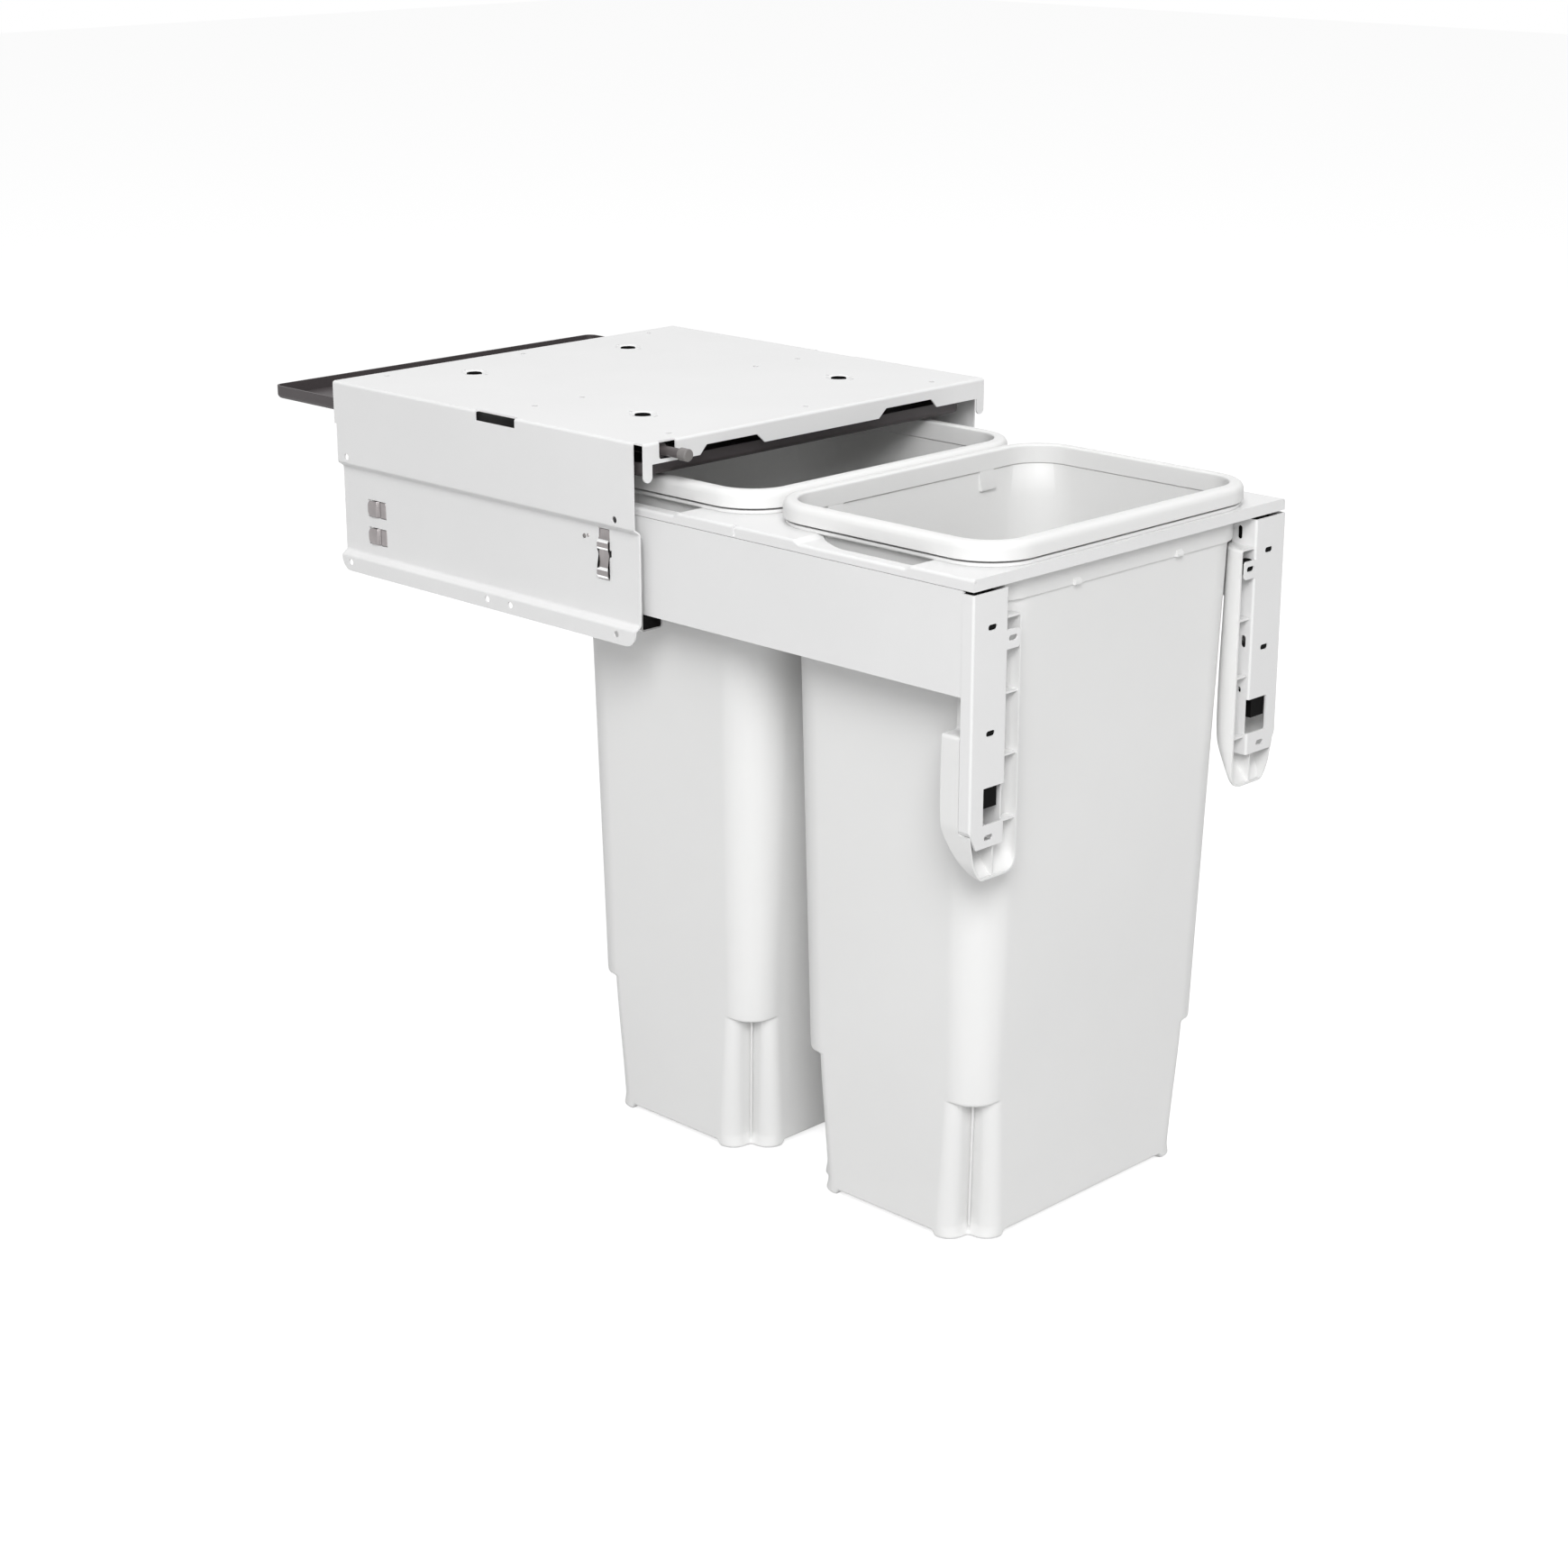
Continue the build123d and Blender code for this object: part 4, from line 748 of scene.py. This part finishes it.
class BINUNIT_OT_covers(bpy.types.Operator):
    """Makes the boat-shaped covers behind the door brackets, open to the front, with ribs and a fin"""

    bl_idname = "binunit.covers"
    bl_label = "Bracket covers"

    OUTLINE = (  # x and z of the right one's corners, round its front
        (137.5, -88.5), (137.5, -281.5), (138.7, -287.0), (142.3, -291.0), (148.5, -293.0),
        (178.8, -293.0), (184.6, -286.5), (188.4, -278.7), (191.6, -265.0), (194.4, -249.3),
        (194.4, -177.0), (177.2, -177.0), (177.2, -88.5),
    )
    BACK = ((-293.0, -348.0), (-289.4, -344.4), (-268.0, -327.5), (-248.0, -319.5), (-88.5, -325.0))  # z, y
    FRONT = -351.0
    WING_FRONT = -340.7  # where the wing's outer wall starts, behind the bracket's side flange
    WING = (191.4, -254.0)  # x over which and z above which that holds
    WALL = 1.6
    BEND = 24.0  # of the inner rear edge
    EDGE = 2.0  # of the other rear edges
    DEPTH = 28.0  # to which both refer
    POLE = (169.0, -205.0)
    NARROW = 39.7  # width of the upper half
    CORNER_REACH = 3.0  # of the outline's rounded corners
    SMOOTHING = 3
    FRONT_SHARE = 0.06  # of the depth, to the first row behind the front edge
    REAR_CORE = 0.04  # share of the rear wall's size at its innermost row
    RIBS_Z = (-149.0, -198.0, -250.0)
    RIB = (  # x and y of its corners
        (138.4, -349.6), (153.6, -349.6), (153.6, -345.0), (147.0, -343.2), (142.0, -340.5),
        (139.2, -341.5),
    )
    FIN = ((-349.6, -263.0), (-326.0, -263.0), (-330.0, -272.0), (-345.5, -291.5), (-349.6, -291.5))  # y, z
    FIN_X = 164.0
    OUTLINE_COUNT, TURN_ROWS, REAR_ROWS = 420, 9, 14

    def back(self, z):
        """Depth of the rear wall's outer face: straight, then curving forward to the foot."""
        path = smoothed(np.array(self.BACK), self.SMOOTHING)
        return np.interp(z, path[:, 0], path[:, 1])

    def loops(self, inset):
        """Rows of one face from the front edge to the middle of the rear wall. Their outline is shifted
        outwards at the inner side along a large arc, and inwards all round along a small one, so that
        each level section is a rounded channel."""
        path = evenly_round(turned_corners(self.OUTLINE, self.CORNER_REACH), self.OUTLINE_COUNT)
        ahead = np.roll(path, -1, axis=0) - np.roll(path, 1, axis=0)
        length = np.linalg.norm(ahead, axis=1)
        normal = np.stack([-ahead[:, 1], ahead[:, 0]], axis=-1) / length[:, None]
        turn = np.sin(np.linspace(0.0, QUARTER, self.TURN_ROWS))
        big = 1.0 - self.BEND / self.DEPTH * (1.0 - turn)
        small = 1.0 - self.EDGE / self.DEPTH * (1.0 - turn)
        share = np.unique(np.concatenate([[0.0, self.FRONT_SHARE], big, small]))[:, None, None]
        from_big = np.clip((share - big[0]) * self.DEPTH, 0.0, self.BEND)
        shift = self.BEND - np.sqrt(self.BEND**2 - from_big**2)
        from_small = np.clip((share - small[0]) * self.DEPTH, 0.0, self.EDGE)
        rounding = self.EDGE - np.sqrt(self.EDGE**2 - from_small**2)
        wall = path[None] + normal[None] * (inset + rounding)
        across = (wall[..., :1] - self.OUTLINE[0][0]) / self.NARROW
        wall[..., :1] += shift * np.clip(1.0 - across, 0.0, 1.0)
        kept = np.linspace(1.0, self.REAR_CORE, self.REAR_ROWS)[1:, None, None]
        rear = np.array(self.POLE) + (wall[-1:] - self.POLE) * kept
        flat = np.concatenate([wall, rear])
        share = np.concatenate([share, np.ones_like(kept)])[..., 0]
        wing = (path[:, 0] > self.WING[0]) & (path[:, 1] > self.WING[1])
        front = np.where(wing, self.WING_FRONT, self.FRONT)
        depth = front + (self.back(flat[..., 1]) - inset - front) * share
        return np.stack([flat[..., 0], depth, flat[..., 1]], axis=-1)

    def execute(self, context):
        outer, inner = self.loops(0.0), self.loops(self.WALL)
        surfaces = [grid_surface(np.concatenate([outer[::-1], inner]), close_start=True, close_end=True)]
        half = self.WALL / 2
        for z in self.RIBS_Z:
            rib = np.array([(x, y, z) for x, y in self.RIB])
            surfaces.append(prism(rib, ((0.0, 0.0, -half), (0.0, 0.0, half))))
        fin = np.array([(self.FIN_X, y, z) for y, z in self.FIN])
        surfaces.append(prism(fin, ((half, 0.0, 0.0), (-half, 0.0, 0.0))))
        add_pair("bracket_cover_moulding", surfaces, "white_plastic", "carrier", "bracket_cover")
        return {"FINISHED"}


# ---------------------------------------------------------------- small metal and black parts


class BINUNIT_OT_springs(bpy.types.Operator):
    """Makes the corrugated spring clips, with a painted highlight along their crests, and the stepped slide
    hooks
    """

    bl_idname = "binunit.springs"
    bl_label = "Clips and hooks"

    CLIP = (  # x and z of the strip's outer face, from its top
        (202.0, -78.8), (202.2, -86.0), (205.0, -88.6), (205.2, -89.4), (205.2, -94.0),
        (204.8, -95.2), (203.2, -97.0), (203.2, -110.2), (205.4, -112.0), (205.6, -113.0),
        (205.6, -117.8), (205.2, -118.8), (203.4, -121.0),
    )
    CLIP_Y = (36.0, 49.0)
    CLIP_THICK = 0.9
    CRESTS_Z = (-88.5, -95.0, -111.9, -118.6)
    CREST = 2.6  # height of a band of painted highlight
    CREST_OVER = 0.06  # how far a band lies over the strip
    CREST_THICK = 0.18
    HOOK_Z = (-110.2, -135.1)
    HOOK_HALF = 7.2
    HOOK_CORNER = 6.0
    HOOK_EDGE = 0.5
    HOOK_LEAST = 0.1  # of the rounding, at a tab's rear end
    HOOK = (  # y along a tab and x of its outer face, from its front
        (331.0, 202.4), (331.8, 203.3), (335.0, 203.3), (338.6, 203.3), (339.4, 202.0),
        (341.2, 202.0), (342.0, 204.8), (346.0, 204.8), (354.0, 204.8), (355.0, 204.2),
    )
    HOOK_ROOT = 201.6
    CLIP_SMOOTHING, CLIP_COUNT, HOOK_SMOOTHING, HOOK_COUNT = 3, 150, 2, 40

    def strip(self, path, thick, limits):
        """Sheet that follows a path of x and z, given thickness inwards, between two depths."""
        ahead = np.gradient(path, axis=0)
        normal = np.stack([-ahead[:, 1], ahead[:, 0]], axis=-1) / np.linalg.norm(ahead, axis=1)[:, None]
        outline = np.vstack([path, (path - normal * thick)[::-1]])
        points = np.column_stack([outline[:, 0], np.zeros(len(outline)), outline[:, 1]])
        return prism(points, ((0.0, limits[0], 0.0), (0.0, limits[1], 0.0)))

    def tab(self, z):
        """Hook with a low front half and a raised rear half whose corners are cut off."""
        path = evenly(smoothed(np.array(self.HOOK), self.HOOK_SMOOTHING), self.HOOK_COUNT)
        y, face = path[:, 0], path[:, 1]
        cut = np.clip(y - (self.HOOK[-1][0] - self.HOOK_CORNER), 0.0, None)
        rounding = np.sqrt(np.maximum(self.HOOK_CORNER**2 - cut**2, self.HOOK_LEAST**2))
        half = self.HOOK_HALF - self.HOOK_CORNER + rounding
        edge = self.HOOK_EDGE
        across = np.stack([half, half, half - edge, edge - half, -half, -half], axis=-1)
        root = np.full_like(face, self.HOOK_ROOT)
        out = np.stack([root, face - edge, face, face, face - edge, root], axis=-1)
        rows = np.stack([out, np.broadcast_to(y[:, None], out.shape), z + across], axis=-1)
        return grid_surface(rows, close_start=True, close_end=True)

    def execute(self, context):
        path = evenly(smoothed(np.array(self.CLIP), self.CLIP_SMOOTHING), self.CLIP_COUNT)
        strip = [self.strip(path, self.CLIP_THICK, self.CLIP_Y)]
        add_pair("spring_clip_strip", strip, "zinc_steel", "housing", "spring_clip")
        # Near-white bands over the strip's crests: painted highlight, since the lamps leave the crests dull.
        highlight_bands = []
        for z in self.CRESTS_Z:
            near = path[np.abs(path[:, 1] - z) < self.CREST / 2]
            highlight_bands.append(self.strip(near + (self.CREST_OVER, 0.0), self.CREST_THICK, self.CLIP_Y))
        add_pair("spring_clip_crest_highlights", highlight_bands, "zinc_steel", "housing", finish="zinc_crest_highlight")
        tabs = [self.tab(z) for z in self.HOOK_Z]
        add_pair("slide_hook_tabs", tabs, "zinc_steel", "housing", "slide_hooks")
        return {"FINISHED"}


class BINUNIT_OT_collars(bpy.types.Operator):
    """Makes the thin collars that stand in the dimples round the lid's studs, black blocks in the
    bracket's slots that paint the shade inside them, and the black cam disc behind the right ear"""

    bl_idname = "binunit.collars"
    bl_label = "Collars and cam disc"

    COLLAR = (  # radius and height, up the inside and down the outside
        (6.3, -4.0), (6.3, -0.7), (6.45, -0.4), (6.75, -0.4), (6.9, -0.7), (6.9, -2.58),
        (6.45, -2.62), (6.45, -4.0),
    )
    DIMPLES = ((94.0, 334.0), (-94.0, 334.0), (119.5, 84.0), (-119.5, 84.0))
    DISC = (  # radius and y, from its front to its rear
        (0.4, -350.6), (6.4, -350.6), (7.0, -350.0), (7.0, -345.8), (6.4, -345.2),
        (0.4, -345.2),
    )
    DISC_X, DISC_Z = 148.6, -104.5
    SLOT_X, SLOTS_Z = 172.5, (-93.3, -175.8)
    SLOT_HALF = (4.85, 2.15)  # of its length and width
    SLOT_Y = (-349.0, -351.6)  # rear and front of a slot's black block, its painted shade
    CIRCLE_COUNT, END_COUNT = 48, 9

    def collars(self, circle):
        """Four rings: a closed section of radius and height, carried round each dimple."""
        profile = np.array(self.COLLAR)
        flat = profile[:, :1, None] * circle
        heights = np.broadcast_to(profile[:, 1:, None], (*flat.shape[:2], 1))
        ring = np.concatenate([flat, heights], axis=-1)[::-1]
        return [grid_surface(ring + (x, y, 0.0), wrap_rows=True) for x, y in self.DIMPLES]

    def disc(self, circle):
        """Disc with chamfered edges: a section of radius and depth, carried round its axis."""
        profile = np.array(self.DISC)
        flat = profile[:, :1, None] * circle
        depth = np.broadcast_to(profile[:, 1:], flat[..., 0].shape)
        rows = np.stack([self.DISC_X + flat[..., 0], depth, self.DISC_Z + flat[..., 1]], axis=-1)
        return grid_surface(rows[::-1], close_start=True, close_end=True)

    def slot_shade_blocks(self):
        """Black blocks with round ends that fill the bracket's two slots: painted shade of the slots."""
        half, radius = self.SLOT_HALF
        corners = [(half, radius), (-half, radius), (-half, -radius), (half, -radius)]
        outline = turned_corners(corners, radius, self.END_COUNT)
        rear, front = self.SLOT_Y
        faces = []
        for z in self.SLOTS_Z:
            place = np.insert(outline + (self.SLOT_X, z), 1, 0.0, axis=1)
            faces.append(prism(place, ((0.0, rear, 0.0), (0.0, front, 0.0))))
        return faces

    def execute(self, context):
        angle = np.linspace(0.0, 2.0 * math.pi, self.CIRCLE_COUNT, endpoint=False)
        circle = np.stack([np.cos(angle), np.sin(angle)], axis=-1)[None]
        add_piece("hanger_collars", in_metres(self.collars(circle)), "black_plastic", "housing")
        add_piece("ear_cam_disc", in_metres([self.disc(circle)]), "black_plastic", "carrier")
        # black blocks in the bracket's slots: painted shade, so the slots read dark
        add_pair("slot_shade_blocks", self.slot_shade_blocks(), "black_plastic", "carrier")
        return {"FINISHED"}


class BINUNIT_OT_fasteners(bpy.types.Operator):
    """Makes the domed screw head and the rivet beside each spring clip"""

    bl_idname = "binunit.fasteners"
    bl_label = "Screw and rivet"

    # name, y, z, radius, rise, slot, own finish and replaced nodes
    DOMES = (
        ("clip_screws", 66.6, -88.0, 2.1, 1.2, "black_plastic", "damper_grey", ("housing_fasteners",)),
        ("clip_rivets", 62.2, -86.9, 1.6, 0.8, "zinc_steel", None, ()),
    )
    WALL = 203.0
    ROOT = 0.5  # how deep a dome is sunk into the wall
    FIRST_TURN = 0.04  # angle of the row next to the pole
    ROWS, COUNT = 8, 32

    def dome(self, y, z, radius, rise):
        """Low dome on the wall: a quarter of an ellipse turned round its axis."""
        turn = np.linspace(self.FIRST_TURN, QUARTER, self.ROWS)[:, None]
        angle = np.linspace(0.0, 2.0 * math.pi, self.COUNT, endpoint=False)[None]
        flat = radius * np.sin(turn)
        out = self.WALL - self.ROOT + (rise + self.ROOT) * np.cos(turn)
        out = np.broadcast_to(out, (self.ROWS, self.COUNT))
        rows = np.stack([out, y + flat * np.cos(angle), z + flat * np.sin(angle)], axis=-1)
        return grid_surface(rows[::-1], close_start=True, close_end=True)

    def execute(self, context):
        for name, y, z, radius, rise, slot_name, finish, replaced in self.DOMES:
            surfaces = [self.dome(y, z, radius, rise)]
            both = in_metres([*surfaces, *mirrored(surfaces)])
            add_piece(name, both, slot_name, "housing", replaced, finish=finish)
        return {"FINISHED"}


# ---------------------------------------------------------------- finishes of the carried-over parts


class BINUNIT_OT_finishes(bpy.types.Operator):
    """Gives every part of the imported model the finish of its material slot"""

    bl_idname = "binunit.finishes"
    bl_label = "Finishes"

    def execute(self, context):
        MATERIALS.update(make_materials(context.scene.bin_unit.finish))
        for part in frame["record"]["subparts"]:
            node = frame["nodes"][part["node"]]
            node.data.materials.clear()
            node.data.materials.append(MATERIALS[part["material_slot"]])
        return {"FINISHED"}


# ---------------------------------------------------------------- camera, floor and light


def area_light(name, place, aim, size, power):
    """A square lamp at a place, turned towards a point."""
    lamp = bpy.data.lights.new(name, "AREA")
    lamp.shape = "SQUARE"
    lamp.size = size
    lamp.energy = power
    holder = bpy.data.objects.new(name, lamp)
    holder.location = place
    holder.rotation_euler = (Vector(aim) - Vector(place)).to_track_quat("-Z", "Y").to_euler()
    bpy.context.scene.collection.objects.link(holder)


def rays_of(nodes, links, kinds):
    """1 for a ray of one of the kinds that Light Path tells apart, and 0 for any other."""
    path = nodes.new("ShaderNodeLightPath")
    share = path.outputs[kinds[0]]
    for kind in kinds[1:]:
        either = nodes.new("ShaderNodeMath")
        either.operation = "MAXIMUM"
        links.new(share, either.inputs[0])
        links.new(path.outputs[kind], either.inputs[1])
        share = either.outputs["Value"]
    return share


class BINUNIT_OT_stage(bpy.types.Operator):
    """Sets up the camera, the floor, the background and the soft light"""

    bl_idname = "binunit.stage"
    bl_label = "Stage"

    CAMERA_LENS, CAMERA_SENSOR = 69.86, 36.0  # mm
    CAMERA_PLACE = (-1.8375, -1.7748, 0.4923)
    CAMERA_DOWN, CAMERA_TURN = 17.958, -45.436  # degrees
    FLOOR_REACH = 12.0
    FLOOR_DROP = 0.5 * MM  # under the model's box
    FLOOR_GREY = (0.55, 0.55, 0.55, 1.0)
    FLOOR_ROUGHNESS = 0.9
    FLOOR_GLOW = 0.74  # added to the lit floor for the rays that look at it
    WHITE = (1.0, 1.0, 1.0, 1.0)
    ROOM_LIGHT = 0.39
    LAMPS = (  # name, place, aim, side of its square and watts
        ("key", (-3.4, -3.3, 3.4), (0.0, 0.0, -0.3), 2.8, 262.0),
        ("low", (-4.0, -4.0, 0.25), (0.0, 0.0, -0.3), 1.6, 20.0),
        ("top", (0.3, 0.3, 2.9), (0.0, 0.0, 0.0), 2.4, 25.0),
    )

    def add_camera(self, scene):
        """Camera at the photograph's viewing angle."""
        camera = bpy.data.cameras.new("camera")
        camera.lens, camera.sensor_width = self.CAMERA_LENS, self.CAMERA_SENSOR
        holder = bpy.data.objects.new("camera", camera)
        holder.location = self.CAMERA_PLACE
        down, turn = math.radians(self.CAMERA_DOWN), math.radians(self.CAMERA_TURN)
        holder.rotation_euler = (QUARTER - down, 0.0, turn)
        scene.collection.objects.link(holder)
        scene.camera = holder

    def add_floor(self, scene):
        """Pale floor that looks white and keeps the object's shadow: an even glow is added to its lit
        surface, for the rays that look at it but not for its light."""
        level, reach = CAD_BOX[0][2] - self.FLOOR_DROP, self.FLOOR_REACH
        corners = [(x * reach, y * reach, level) for x, y in ((-1, -1), (1, -1), (1, 1), (-1, 1))]
        mesh = bpy.data.meshes.new("floor")
        mesh.from_pydata(corners, [], [(0, 1, 2, 3)])
        floor = bpy.data.objects.new("floor", mesh)
        scene.collection.objects.link(floor)
        material = bpy.data.materials.new("floor")
        material.use_nodes = True
        nodes, links = material.node_tree.nodes, material.node_tree.links
        shader = nodes["Principled BSDF"]
        shader.inputs["Base Color"].default_value = self.FLOOR_GREY
        shader.inputs["Roughness"].default_value = self.FLOOR_ROUGHNESS
        shader.inputs["Specular IOR Level"].default_value = 0.0
        glow = nodes.new("ShaderNodeEmission")
        glow.inputs["Color"].default_value = self.WHITE
        amount = nodes.new("ShaderNodeMath")
        amount.operation = "MULTIPLY"
        amount.inputs[1].default_value = self.FLOOR_GLOW
        looking = rays_of(nodes, links, ("Is Camera Ray", "Is Glossy Ray", "Is Transmission Ray"))
        links.new(looking, amount.inputs[0])
        links.new(amount.outputs["Value"], glow.inputs["Strength"])
        both = nodes.new("ShaderNodeAddShader")
        links.new(shader.outputs["BSDF"], both.inputs[0])
        links.new(glow.outputs["Emission"], both.inputs[1])
        links.new(both.outputs["Shader"], nodes["Material Output"].inputs["Surface"])
        mesh.materials.append(material)

    def add_room(self, scene):
        """Even light from all sides, from a background that looks white."""
        world = bpy.data.worlds.new("soft_room")
        scene.world = world
        world.use_nodes = True
        nodes, links = world.node_tree.nodes, world.node_tree.links
        light, white = nodes["Background"], nodes.new("ShaderNodeBackground")
        for background, strength in ((light, self.ROOM_LIGHT), (white, 1.0)):
            background.inputs["Color"].default_value = self.WHITE
            background.inputs["Strength"].default_value = strength
        mix = nodes.new("ShaderNodeMixShader")
        links.new(rays_of(nodes, links, ("Is Camera Ray", "Is Glossy Ray")), mix.inputs["Fac"])
        links.new(light.outputs["Background"], mix.inputs[1])
        links.new(white.outputs["Background"], mix.inputs[2])
        links.new(mix.outputs["Shader"], nodes["World Output"].inputs["Surface"])

    def execute(self, context):
        scene = context.scene
        self.add_camera(scene)
        scene.view_settings.view_transform = "Standard"
        self.add_floor(scene)
        self.add_room(scene)
        for lamp in self.LAMPS:
            area_light(*lamp)
        return {"FINISHED"}


# ---------------------------------------------------------------- add-on


class BINUNIT_PT_panel(bpy.types.Panel):
    """Lists the steps that dress the unit"""

    bl_idname = "BINUNIT_PT_panel"
    bl_label = "Bin unit"
    bl_space_type = "VIEW_3D"
    bl_region_type = "UI"
    bl_category = "Bin unit"

    def draw(self, context):
        for operator in STEPS:
            self.layout.operator(operator.bl_idname)


STEPS = (
    BINUNIT_OT_stage,
    BINUNIT_OT_finishes,
    BINUNIT_OT_buckets,
    BINUNIT_OT_rings,
    BINUNIT_OT_covers,
    BINUNIT_OT_springs,
    BINUNIT_OT_collars,
    BINUNIT_OT_fasteners,
)
CLASSES = (FinishSettings, BucketSettings, BinUnitSettings, *STEPS, BINUNIT_PT_panel)


def register():
    """Adds the classes, and the settings to every scene."""
    for kind in CLASSES:
        bpy.utils.register_class(kind)
    bpy.types.Scene.bin_unit = PointerProperty(type=BinUnitSettings)


def unregister():
    """Takes the settings and the classes away again."""
    del bpy.types.Scene.bin_unit
    for kind in reversed(CLASSES):
        bpy.utils.unregister_class(kind)


def main():
    """Registers the add-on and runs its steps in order."""
    register()
    for operator in STEPS:
        category, step = operator.bl_idname.split(".")
        getattr(getattr(bpy.ops, category), step)()


if __name__ == "__main__":
    main()
